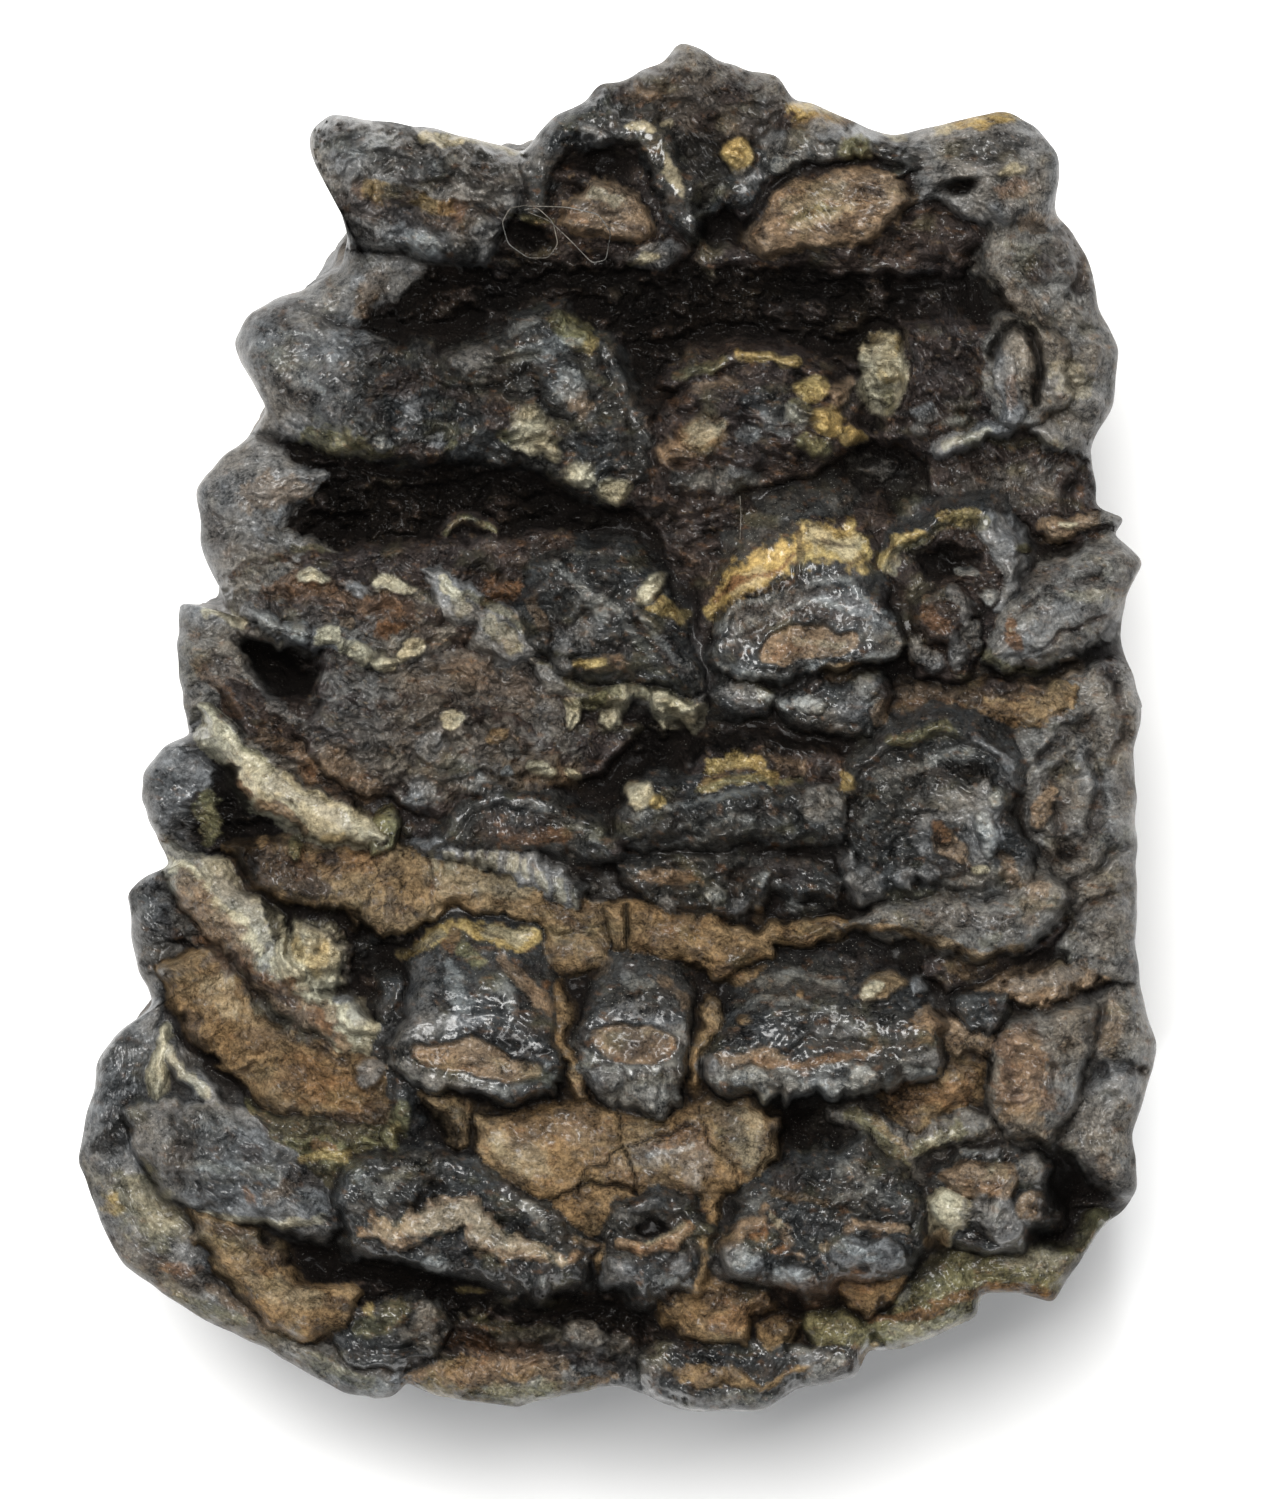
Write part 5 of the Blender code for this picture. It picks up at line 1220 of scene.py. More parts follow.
    face.paint([("pearl", 0.9, [(742, 1254, 8), (738, 1270, 5)]), ("pearl", 0.8, [(782, 1276, 8),
        (812, 1278, 5)]), ("pearl", 0.7, [(846, 1248, 7), (868, 1256, 6)]),
        ("pearl", 0.6, [(892, 1260, 6)]), ("umber", 0.5, [(780, 1180, 14), (800, 1200, 10)]),
        ("tan", 0.4, [(770, 1190, 6), (822, 1205, 4)]), ("pearl", 0.4, [(840, 1165, 8),
        (870, 1175, 8)]), ("pearl", 0.35, [(830, 1198, 4), (870, 1190, 4), (905, 1205, 4)]),
        ("pit", 0.5, [(850, 1212, 3), (900, 1218, 4)]), ("pearl", 0.35, [(736, 1215, 5),
        (760, 1195, 5)]), ("cream", 0.4, [(768, 1214, 3), (780, 1226, 3)])])
    face.mound([(925, 1205), (930, 1175), (960, 1150), (1010, 1142), (1045, 1165), (1048, 1215),
        (1020, 1245), (970, 1245), (935, 1235)], 48.8, "enamel", 2.2, lumps=0.5, soft=26)
    face.mound([(942, 1178), (958, 1164), (990, 1164), (1018, 1170), (1022, 1192), (1000, 1200),
        (965, 1195), (946, 1190)], 51.6, "dentine", 1, soft=12, lumps=0.3)
    face.mound([(928, 1204), (940, 1194), (958, 1192), (972, 1204), (970, 1226), (952, 1238),
        (934, 1228)], 51.2, "cream", 1.8, soft=16, lumps=0.15)
    face.paint([("cream", 0.9, [(945, 1208, 12), (952, 1220, 10)]), ("worn", 0.6, [(960, 1198, 4),
        (966, 1225, 5)]), ("olive", 0.3, [(938, 1226, 5), (955, 1234, 4)])])
    face.knobs([(978, 1206, 13, 17, 1.6, "worn"), (1006, 1216, 24, 25, 2, "worn"),
        (1036, 1206, 14, 14, 1.2, "dentine"), (984, 1150, 18, 9, 1, "worn", 6),
        (1030, 1172, 14, 18, 1.2, "wall"), (940, 1245, 18, 12, 1.2, "tan"),
        (965, 1152, 10, 7, 0.8, "pearl")])
    face.paint([("rust", 0.35, [(965, 1182, 6), (1000, 1190, 6)]), ("cream", 0.3, [(985, 1172, 6)]),
        ("pearl", 0.5, [(1000, 1212, 8)]), ("worn", 0.7, [(1090, 1110, 26), (1110, 1080, 18)]),
        ("pit", 0.8, [(1062, 1170, 10), (1058, 1200, 16)]), ("umber", 0.6, [(1100, 1175, 16),
        (1080, 1215, 20), (1060, 1250, 12)]), ("dentine", 0.4, [(1112, 1170, 14)])])
    face.pit(1064, 1192, 28, 20, 2, 0, "pit")
    face.slab([(655, 1296), (700, 1272), (740, 1290), (776, 1284), (772, 1308), (742, 1325),
        (738, 1345), (700, 1335), (680, 1330)], 48.8, "tan", 0, 0, 0.4, cracks=14)
    face.slab([(828, 1272), (868, 1262), (906, 1272), (892, 1300), (872, 1314), (846, 1298)], 48.6,
        "tan", 0, 0, 0.4)
    face.slab([(754, 1332), (780, 1314), (802, 1320), (788, 1340), (762, 1350)], 46.8, "tan", 0, 0, 0.4)
    face.paint([("umber", 0.6, [(715, 1298, 12), (755, 1300, 9)]), ("rust", 0.5, [(720, 1325, 10),
        (860, 1285, 16)]), ("umber", 0.4, [(880, 1275, 8)]), ("umber", 0.5, [(665, 1300, 7)])])


def row_seven(face):
    """The front plate, low and worn: shells at the left, layers of enamel and cement along the bottom."""
    face.mound([(55, 1050), (90, 1015), (165, 1000), (158, 1060), (154, 1140), (165, 1190), (200, 1215),
        (240, 1265), (180, 1290), (110, 1280), (55, 1200)], 39.4, "worn", 3.4, 0.012, 0, lumps=0.3,
        soft=50)
    face.mound([(190, 1210), (225, 1224), (275, 1250), (300, 1285), (362, 1294), (352, 1320),
        (322, 1338), (290, 1328), (255, 1300), (225, 1266), (198, 1240)], 46, "tan", 1.2, soft=24,
        lumps=0.5)
    face.mound([(95, 1240), (150, 1245), (205, 1275), (262, 1312), (330, 1342), (388, 1366),
        (410, 1395), (380, 1430), (240, 1400), (130, 1330), (80, 1280)], 41.4, "wall", 1.8, 0.004,
        -0.004, soft=24, lumps=0.3)
    face.paint([("enamel", 0.75, [(115, 1062, 30), (120, 1110, 26)]), ("wall", 0.5, [(110, 1190, 26),
        (150, 1235, 24)]), ("worn", 0.6, [(100, 1075, 5), (140, 1050, 5)]),
        ("worn", 0.5, [(95, 1110, 5), (140, 1085, 5)]), ("pit", 0.75, [(105, 1140, 12),
        (125, 1130, 12)]), ("pit", 0.6, [(145, 1165, 10), (150, 1180, 7)]),
        ("wall", 0.6, [(90, 1165, 14), (85, 1190, 10)]), ("olive", 0.5, [(130, 1190, 24),
        (160, 1225, 24)]), ("cream", 0.35, [(140, 1185, 12), (165, 1215, 16)]),
        ("amber", 0.6, [(115, 1208, 11)]), ("worn", 0.4, [(185, 1235, 12)]),
        ("umber", 0.5, [(110, 1245, 10)]), ("umber", 0.7, [(215, 1232, 8), (255, 1245, 9),
        (285, 1262, 6)]), ("cream", 0.25, [(260, 1280, 12), (310, 1300, 12)]),
        ("umber", 0.5, [(325, 1305, 7), (345, 1310, 6)]), ("umber", 0.6, [(150, 1260, 8),
        (205, 1285, 8), (250, 1305, 6)]), ("rust", 0.5, [(165, 1268, 5), (200, 1270, 6)]),
        ("dentine", 0.6, [(215, 1292, 5), (262, 1318, 7), (305, 1335, 6)]),
        ("olive", 0.5, [(175, 1298, 9), (240, 1325, 8)]), ("pearl", 0.45, [(290, 1345, 8),
        (345, 1378, 10), (385, 1390, 8)]), ("olive", 0.5, [(310, 1360, 9), (370, 1382, 8)]),
        ("umber", 0.5, [(345, 1352, 7), (385, 1372, 6)])])
    face.mound([(335, 1335), (350, 1308), (395, 1296), (440, 1300), (450, 1330), (430, 1356),
        (390, 1372), (350, 1356)], 43.8, "enamel", 1.8, lumps=0.7, soft=26)
    face.paint([("amber", 0.7, [(372, 1312, 7)]), ("wall", 0.5, [(410, 1330, 12), (425, 1345, 10)]),
        ("pit", 0.7, [(350, 1325, 7)]), ("olive", 0.5, [(400, 1310, 10), (365, 1330, 8)])])
    face.knobs([(585, 1336, 18, 16, 1.8, "wall"), (508, 1342, 13, 12, 1.4, "wall"),
        (470, 1292, 18, 5, 1, "amber", 4), (560, 1304, 22, 7, 1, "olive", 4),
        (424, 1318, 12, 16, 1, "wall", 20)])
    face.mound([(425, 1365), (470, 1350), (540, 1352), (600, 1362), (630, 1378), (600, 1400),
        (520, 1440), (440, 1420), (395, 1385)], 42.2, "dentine", 1.8, 0, -0.01, soft=20, lumps=0.5)
    face.paint([("umber", 0.6, [(440, 1358, 6), (520, 1356, 8), (600, 1360, 8)]),
        ("tan", 0.8, [(450, 1368, 6), (470, 1362, 5)]), ("tan", 0.7, [(505, 1376, 4), (530, 1376, 4)]),
        ("cream", 0.5, [(500, 1392, 10), (540, 1388, 8)]), ("pearl", 0.6, [(566, 1378, 9)]),
        ("olive", 0.6, [(430, 1385, 10), (480, 1398, 10), (590, 1388, 8)]),
        ("umber", 0.4, [(460, 1390, 4), (475, 1400, 4)]), ("umber", 0.4, [(525, 1385, 3),
        (520, 1402, 4)])])
    face.mound([(640, 1352), (665, 1338), (720, 1336), (760, 1345), (800, 1338), (850, 1330),
        (880, 1350), (868, 1385), (820, 1410), (760, 1440), (690, 1430), (640, 1395)], 44.2, "enamel",
        2.2, 0, -0.01, soft=26, lumps=0.4)
    face.ridge([(668, 1366, 46.4, 5), (700, 1374, 47, 8), (735, 1378, 47, 6), (760, 1386, 46.6, 3),
        (800, 1370, 46.6, 3), (835, 1352, 46.2, 3)], "tan", 0.3, 0.35)
    face.paint([("worn", 0.5, [(655, 1365, 10), (650, 1385, 8)]), ("worn", 0.6, [(800, 1350, 12),
        (830, 1372, 12)]), ("pearl", 0.6, [(812, 1375, 8), (835, 1362, 6)]),
        ("pearl", 0.4, [(710, 1400, 8), (780, 1402, 8)]), ("umber", 0.5, [(715, 1368, 5),
        (690, 1384, 6)]), ("tan", 0.7, [(858, 1362, 6), (866, 1350, 5)]),
        ("umber", 0.5, [(650, 1335, 12), (700, 1345, 6)])])
    face.mound([(800, 1322), (815, 1308), (845, 1312), (872, 1335), (860, 1350), (815, 1345)], 45.4,
        "olive", 1.2, soft=14, lumps=0.4)
    face.mound([(862, 1330), (876, 1300), (905, 1270), (960, 1250), (1010, 1244), (1075, 1250),
        (1100, 1215), (1130, 1230), (1090, 1310), (1000, 1320), (970, 1350), (900, 1365)], 44.2,
        "olive", 1.6, -0.004, -0.004, soft=26, lumps=0.35)
    face.paint([("cream", 0.45, [(900, 1335, 14), (955, 1322, 12)]), ("wall", 0.5, [(1010, 1258, 16),
        (1050, 1262, 16)]), ("rust", 0.75, [(872, 1322, 4), (910, 1312, 6), (950, 1300, 7),
        (990, 1288, 7), (1035, 1290, 6), (1058, 1304, 6)]), ("pit", 0.9, [(888, 1308, 9)]),
        ("umber", 0.5, [(918, 1320, 4), (940, 1330, 4)]), ("pearl", 0.5, [(905, 1296, 7)]),
        ("enamel", 0.5, [(940, 1272, 8), (915, 1280, 7)]), ("cream", 0.3, [(1015, 1262, 8)]),
        ("olive", 0.5, [(985, 1262, 9)]), ("umber", 0.5, [(1085, 1240, 18), (1075, 1275, 12)])])
    face.mound([(440, 1310), (480, 1300), (560, 1318), (640, 1322), (650, 1342), (600, 1358),
        (520, 1350), (450, 1348)], 42.6, "umber", 1.4, soft=20, lumps=0.9, edge=0.25)
    face.paint([("pit", 0.85, [(640, 1318, 10), (600, 1304, 10), (520, 1300, 10)]),
        ("pit", 0.8, [(800, 1308, 10), (780, 1355, 4)]), ("olive", 0.4, [(480, 1322, 8),
        (560, 1338, 8)]), ("wall", 0.5, [(585, 1336, 14), (508, 1342, 12), (620, 1345, 10)]),
        ("rust", 0.4, [(450, 1340, 8), (540, 1350, 8)]), ("pit", 0.6, [(450, 1335, 11), (510, 1338, 13),
        (560, 1336, 10)])])


def wear(face):
    """Fine wear all over: wrinkles and steps in the enamel, crumbs in the cement, and soft worn walls."""
    x, y = face.x, face.y
    hard = face.share["enamel"] + face.share["pearl"] + face.share["amber"] + face.share["olive"]
    bony = face.share["dentine"] + face.share["rust"] + face.share["cream"]
    earthy = face.share["tan"] + face.share["umber"] + 0.8 * face.share["wall"] + 0.7 * face.share["pit"]
    face.z += 0.42 * (1.0 - 0.5 * face.share["pit"]) * rough(x / 44.0, y / 34.0, 77, 4)
    face.z += 0.16 * hard * (creased(x / 24.0, y / 30.0, 81) - 0.45)
    face.z += 0.07 * hard * rough(x / 6.0, y / 14.0, 85, 3)
    face.z += (0.20 * bony - 0.13 * face.share["cream"]) * rough(x / 20.0, y / 10.0, 91, 4)
    face.z += 0.34 * earthy * rough(x / 30.0, y / 22.0, 95, 4, 0.52)
    face.z += 0.16 * earthy * (0.5 - grains(x / 15.0, y / 12.0, 101)[0])
    pebbled = smooth(-0.5, 0.3, waves(x / 50.0, y / 40.0, 107))
    face.z += 0.22 * (earthy + 0.5 * hard) * (0.5 - grains(x / 8.5, y / 7.5, 103)[0]) * pebbled
    face.z += 0.12 * face.share["worn"] * rough(x / 40.0, y / 24.0, 105, 4)


def weather(face):
    """Stains all over that tie the tissues together: brown washes, olive tints, dark glaze and crumbs."""
    x, y = face.x, face.y
    everywhere = slice(None)
    clean = 1.0 - face.share["pit"] - 0.65 * face.share["worn"]
    clean = clean - 0.6 * face.share["cream"] - 0.4 * face.share["amber"]
    face.lay(everywhere, "umber", 0.45 * clean * smooth(0.0, 0.9, rough(x / 30.0, y / 20.0, 501)))
    face.lay(everywhere, "olive", 0.30 * smooth(0.25, 1.0, rough(x / 52.0, y / 34.0, 511)) * clean)
    face.lay(everywhere, "enamel", 0.50 * smooth(0.15, 0.9, rough(x / 22.0, y / 14.0, 521)) * clean)
    face.lay(everywhere, "dentine", 0.15 * smooth(0.35, 0.9, rough(x / 20.0, y / 15.0, 531)) * clean)
    face.lay(everywhere, "rust", 0.40 * smooth(0.45, 0.9, rough(x / 17.0, y / 9.0, 551)) * clean)
    face.lay(everywhere, "worn", 0.35 * smooth(0.50, 0.95, rough(x / 12.0, y / 8.0, 561)) * clean)
    crumbs = smooth(0.60, 0.90, rough(x / 9.0, y / 7.5, 541, 3))
    crumbs = crumbs * (1.0 - 0.8 * face.share["enamel"]) * (1.0 - 0.9 * face.share["pit"])
    crumbs = crumbs * (1.0 - face.share["worn"])
    face.lay(everywhere, "tan", 0.4 * crumbs)
    face.z += 0.22 * crumbs


def shaped_face(x, y):
    """The whole chewing face over plan places given in photo pixels."""
    face = Face(x, y)
    lay_floor(face)
    right_wall(face)
    row_stump(face)
    row_one(face)
    row_two(face)
    row_three(face)
    row_four(face)
    row_five(face)
    cement_bridge(face)
    row_six(face)
    row_seven(face)
    weather(face)
    wear(face)
    return face


# Cracks and gaps narrower than about 5 mm are filled with dark cement up to this depth
GAP_MM = 1.5

# The rim: where the outline lies in the face's grid, how wide its rounding is, and how far its wall goes down
RIM = 0.97
ROUND_PX = 26.0
ROUND_MM = 3.0
WALL_DROP_MM = 6.0
WALL_INSET = 0.03

# How each band is closed below: its skirt's drop and depth, how far it leans in, and its inner pole
SKIRT_DROP = 0.004
SKIRT_FOOT = 0.031
RIM_LEAN = 0.07
SEAM_LEAN = 0.02
POLE_HEIGHT = 0.026

# Two looping fibres at the upper left and a hair in the third row, as lines of photo pixels and heights,
# and their half width
FIBRES = [
    [(528, 205, 50.5), (510, 208, 52.2), (502, 222, 52.6), (508, 244, 52.6), (528, 258, 52.4),
     (548, 258, 52.4), (558, 244, 52.6), (553, 222, 52.8), (538, 208, 52.6), (524, 210, 51.0)],
    [(526, 206, 51.0), (566, 207, 52.8), (598, 214, 53.0), (611, 232, 53.0), (606, 260, 52.6),
     (592, 263, 52.6), (572, 242, 52.6), (550, 221, 52.6), (528, 212, 51.2)],
    [(740, 496, 51.0), (741, 515, 52.4), (740, 540, 52.6)],
]
FIBRE_MM = 0.045
FIBRE_SIDES = 6

# The sides: how far below the edge they start, how wide they are there, at the shoulder and at the base, how
# high the foot's rounding is, how the plates lean below, and how far apart plates and flutes lie
START_MM = 4.0
START_SCALE = 0.945
SHOULDER_SCALE = 0.985
BASE_SCALE = 0.80
FOOT_MM = 9.0
LEAN_MM = 2.0
PLATE_MM = 14.6
FLUTE_MM = 8.5


def in_metres(px, py, z):
    """Photo pixels and a height to metres, spread a little with depth so that the camera's rays meet them."""
    spread = (1.0 + (CREST_MM - z) / CAMERA_RISE_MM) / PIXELS_PER_MM
    centre_x = 0.5 * PHOTO_WIDTH
    centre_y = 0.5 * PHOTO_HEIGHT
    x = (centre_x - MIDDLE_X) / PIXELS_PER_MM + (px - centre_x) * spread
    y = (MIDDLE_Y - centre_y) / PIXELS_PER_MM + (centre_y - py) * spread
    return np.stack([x, y, z], axis=-1) * MM


def face_grid():
    """The chewing face's points, rows from the back to the front, with the tissue shares and the depth of
    painted shade at each.

    The square from -1 to 1 is carried to the unit disc and on to the outline. The outermost ring goes
    down and in, as the top of the side walls, and the edge above it is rounded.
    """
    u, v = np.meshgrid(np.linspace(-1.0, 1.0, FACE_ACROSS + 1), np.linspace(1.0, -1.0, BANDS * BAND_ROWS + 1))
    disc_x = u * np.sqrt(1.0 - 0.5 * v * v)
    disc_y = v * np.sqrt(1.0 - 0.5 * u * u)
    reach = np.hypot(disc_x, disc_y)
    angle = np.arctan2(disc_y, disc_x)
    inner = np.clip(reach / RIM, 0.0, 1.0)
    outer = np.clip((reach - RIM) / (1.0 - RIM), 0.0, 1.0)
    x_mm, y_mm = outline_place(angle, inner)
    px = MIDDLE_X + x_mm * PIXELS_PER_MM
    py = MIDDLE_Y - y_mm * PIXELS_PER_MM
    face = shaped_face(px.ravel(), py.ravel())
    z = face.z.reshape(px.shape)
    edge = np.clip(1.0 - (1.0 - inner) * np.hypot(x_mm, y_mm) * PIXELS_PER_MM / ROUND_PX, 0.0, 1.0)
    shares = np.stack([face.share[name].reshape(px.shape) for name in TISSUES], axis=-1)
    lift = np.clip(box_mean(z, int(14 * COARSE)) - GAP_MM - z, 0.0, None)
    z = z + 0.85 * lift
    filled = (0.45 * smooth(0.0, 1.6, lift))[..., None]
    shares = shares * (1.0 - filled) + filled * (np.array(TISSUES) == "umber")
    relief = z - face.dome.reshape(px.shape)
    z = z - ROUND_MM * (1.0 - np.sqrt(1.0 - edge ** 2)) - WALL_DROP_MM * outer
    px = MIDDLE_X + (px - MIDDLE_X) * (1.0 - WALL_INSET * outer ** 2)
    py = MIDDLE_Y + (py - MIDDLE_Y) * (1.0 - WALL_INSET * outer ** 2)
    # How far each place lies below the mean height around it, at three sizes and less near the rim: the depth
    # of painted shade in hollows and valleys
    hollow = 0.42 * np.clip(box_mean(relief, int(16 * COARSE)) - relief, -1.5, 4.0)
    hollow = hollow + 0.55 * np.clip(box_mean(relief, int(4 * COARSE)) - relief, -0.6, 1.2)
    hollow = hollow + 0.16 * np.clip(box_mean(relief, int(36 * COARSE)) - relief - 1.2, 0.0, 4.0)
    return px, py, z, shares, hollow * (1.0 - 0.8 * edge)


def grid_normals(points):
    """The normal at each grid point: the cross product of the steps to its neighbours on both sides.

    On the rim at the grid's four corners both steps run the same way, and the normal turns outward there.
    """
    along = np.gradient(points, axis=1)
    down = np.gradient(points, axis=0)
    normal = np.cross(down, along)
    normal = normal / np.linalg.norm(normal, axis=-1, keepdims=True)
    u, v = np.meshgrid(np.linspace(-1.0, 1.0, points.shape[1]), np.linspace(1.0, -1.0, points.shape[0]))
    corner = smooth(0.72, 0.90, np.abs(u * v)) * (u * u + v * v - u * u * v * v > RIM ** 2)
    outward = points * np.array([1.0, 1.0, 0.0])
    outward = outward / np.clip(np.linalg.norm(outward, axis=-1, keepdims=True), 1e-9, None)
    normal = normal + corner[..., None] * (outward - normal)
    return normal / np.linalg.norm(normal, axis=-1, keepdims=True)


def box_mean(values, reach):
    """The mean over a square window of the grid, from running sums along each side."""
    for axis in (0, 1):
        padding = [(0, 0), (0, 0)]
        padding[axis] = (reach + 1, reach)
        sums = np.cumsum(np.pad(values, padding, mode="edge"), axis=axis)
        count = 2 * reach + 1
        high = np.take(sums, np.arange(count, sums.shape[axis]), axis=axis)
        low = np.take(sums, np.arange(0, sums.shape[axis] - count), axis=axis)
        values = (high - low) / count
    return values


def over_factors(shares):
    """Shares of tissues to factors for laying each over the ones before it: its part of the running sum."""
    running = np.cumsum(shares, axis=-1)
    return shares / np.clip(running, 1e-6, None)


def new_piece(name, points, faces, factors, hollow, material, normals=None):
    """A mesh piece from arrays: its points in metres, its faces, and the attributes that its material reads.

    Where normals are given for the first points, they shade the piece, so that its seams don't show.
    """
    mesh = bpy.data.meshes.new(name)
    mesh.vertices.add(len(points))
    mesh.vertices.foreach_set("co", np.ascontiguousarray(points, dtype=np.float32).ravel())
    corners = [np.asarray(part, dtype=np.int32) for part in faces]
    sizes = np.concatenate([np.full(len(part), part.shape[1], dtype=np.int32) for part in corners])
    loops = np.concatenate([part.ravel() for part in corners])
    mesh.loops.add(len(loops))
    mesh.loops.foreach_set("vertex_index", loops)
    mesh.polygons.add(len(sizes))
    mesh.polygons.foreach_set("loop_start", np.concatenate([[0], np.cumsum(sizes)[:-1]]).astype(np.int32))
    mesh.polygons.foreach_set("use_smooth", np.ones(len(sizes), dtype=bool))
    mesh.update(calc_edges=True)
    # The tissue factors, and last the depth of painted shade
    packed = np.concatenate([factors[:, 1:], hollow[:, None]], axis=1)
    for group in range(packed.shape[1] // 3):
        stored = mesh.attributes.new(f"tissue_{group}", "FLOAT_VECTOR", "POINT")
        columns = np.ascontiguousarray(packed[:, 3 * group:3 * group + 3], dtype=np.float32)
        stored.data.foreach_set("vector", columns.ravel())
    if normals is not None:
        every = np.empty(len(points) * 3, dtype=np.float32)
        mesh.vertex_normals.foreach_get("vector", every)
        every = every.reshape(-1, 3)
        every[:len(normals)] = normals
        mesh.normals_split_custom_set_from_vertices(every.tolist())
    mesh.materials.append(material)
    piece = bpy.data.objects.new(name, mesh)
    bpy.context.scene.collection.objects.link(piece)
    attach(piece, "root")
    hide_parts("molar")
    return piece


def grid_faces(rows, columns):
    """Quads over a grid whose rows run front-wards and whose columns run to the right, facing up."""
    index = np.arange(rows * columns).reshape(rows, columns)
    return np.stack([index[:-1, :-1], index[1:, :-1], index[1:, 1:], index[:-1, 1:]], axis=-1).reshape(-1, 4)


def rim_loop(rows, columns):
    """The indices round the grid's edge, counter-clockwise seen from above."""
    index = np.arange(rows * columns).reshape(rows, columns)
    return np.concatenate([index[:-1, 0], index[-1, :-1], index[:0:-1, -1], index[0, :0:-1]])


def make_face_bands(material):
    """The chewing face as four bands, each closed below by a dropped ring and a pole inside the tooth."""
    px, py, z, shares, hollow = face_grid()
    points = in_metres(px, py, z)
    factors = over_factors(shares)
    normals = grid_normals(points)
    for band in range(BANDS):
        rows = slice(band * BAND_ROWS, (band + 1) * BAND_ROWS + 1)
        part = points[rows]
        count, columns = part.shape[:2]
        loop = rim_loop(count, columns)
        flat = part.reshape(-1, 3)
        middle = flat.mean(axis=0)
        rim = np.zeros((count, columns), dtype=bool)
        rim[:, [0, -1]] = True
        rim[0] |= band == 0
        rim[-1] |= band == BANDS - 1
        rim = rim.ravel()[loop][:, None]
        near_rim = smooth(0.80, 0.92, np.abs(np.linspace(-1.0, 1.0, columns)))
        pull = np.maximum(np.tile(near_rim, count)[loop][:, None], rim)
        inward = SEAM_LEAN * (1.0 - pull) * (middle - flat[loop]) - RIM_LEAN * pull * flat[loop]
        below = flat[loop] + inward * np.array([1.0, 1.0, 0.0])
        below[:, 2] = np.minimum(below[:, 2] - SKIRT_DROP, SKIRT_FOOT)
        pole = np.array([middle[0], middle[1], POLE_HEIGHT])
        everything = np.concatenate([flat, below, pole[None, :]])
        first = len(flat)
        around = np.arange(len(loop))
        following = np.roll(around, -1)
        skirt = np.stack([loop[around], first + around, first + following, loop[following]], axis=1)
        fan = np.stack([first + around, np.full(len(loop), first + len(loop)), first + following], axis=1)
        kept = factors[rows].reshape(-1, len(TISSUES))
        names = np.array(TISSUES)
        plain = over_factors(0.7 * (names == "wall") + 0.3 * (names == "umber"))
        hidden = np.concatenate([np.where(rim, plain, kept[loop]), kept[:1]])
        # The depth of painted shade at each point
        depth = hollow[rows].ravel()
        new_piece(f"chewing_face_{band + 1}", everything, [grid_faces(count, columns), skirt, fan],
                  np.concatenate([kept, hidden]), np.concatenate([depth, depth[loop], depth[:1]]), material,
                  normals[rows].reshape(-1, 3))


def rim_heights(turn):
    """The height of the outline's edge in each direction, averaged over a few degrees."""
    x_mm, y_mm = outline_place(turn, np.ones_like(turn))
    face = shaped_face(MIDDLE_X + x_mm * PIXELS_PER_MM, MIDDLE_Y - y_mm * PIXELS_PER_MM)
    window = max(1, int(6 * COARSE))
    return np.mean([np.roll(face.z - ROUND_MM, step) for step in range(-window, window + 1)], axis=0)


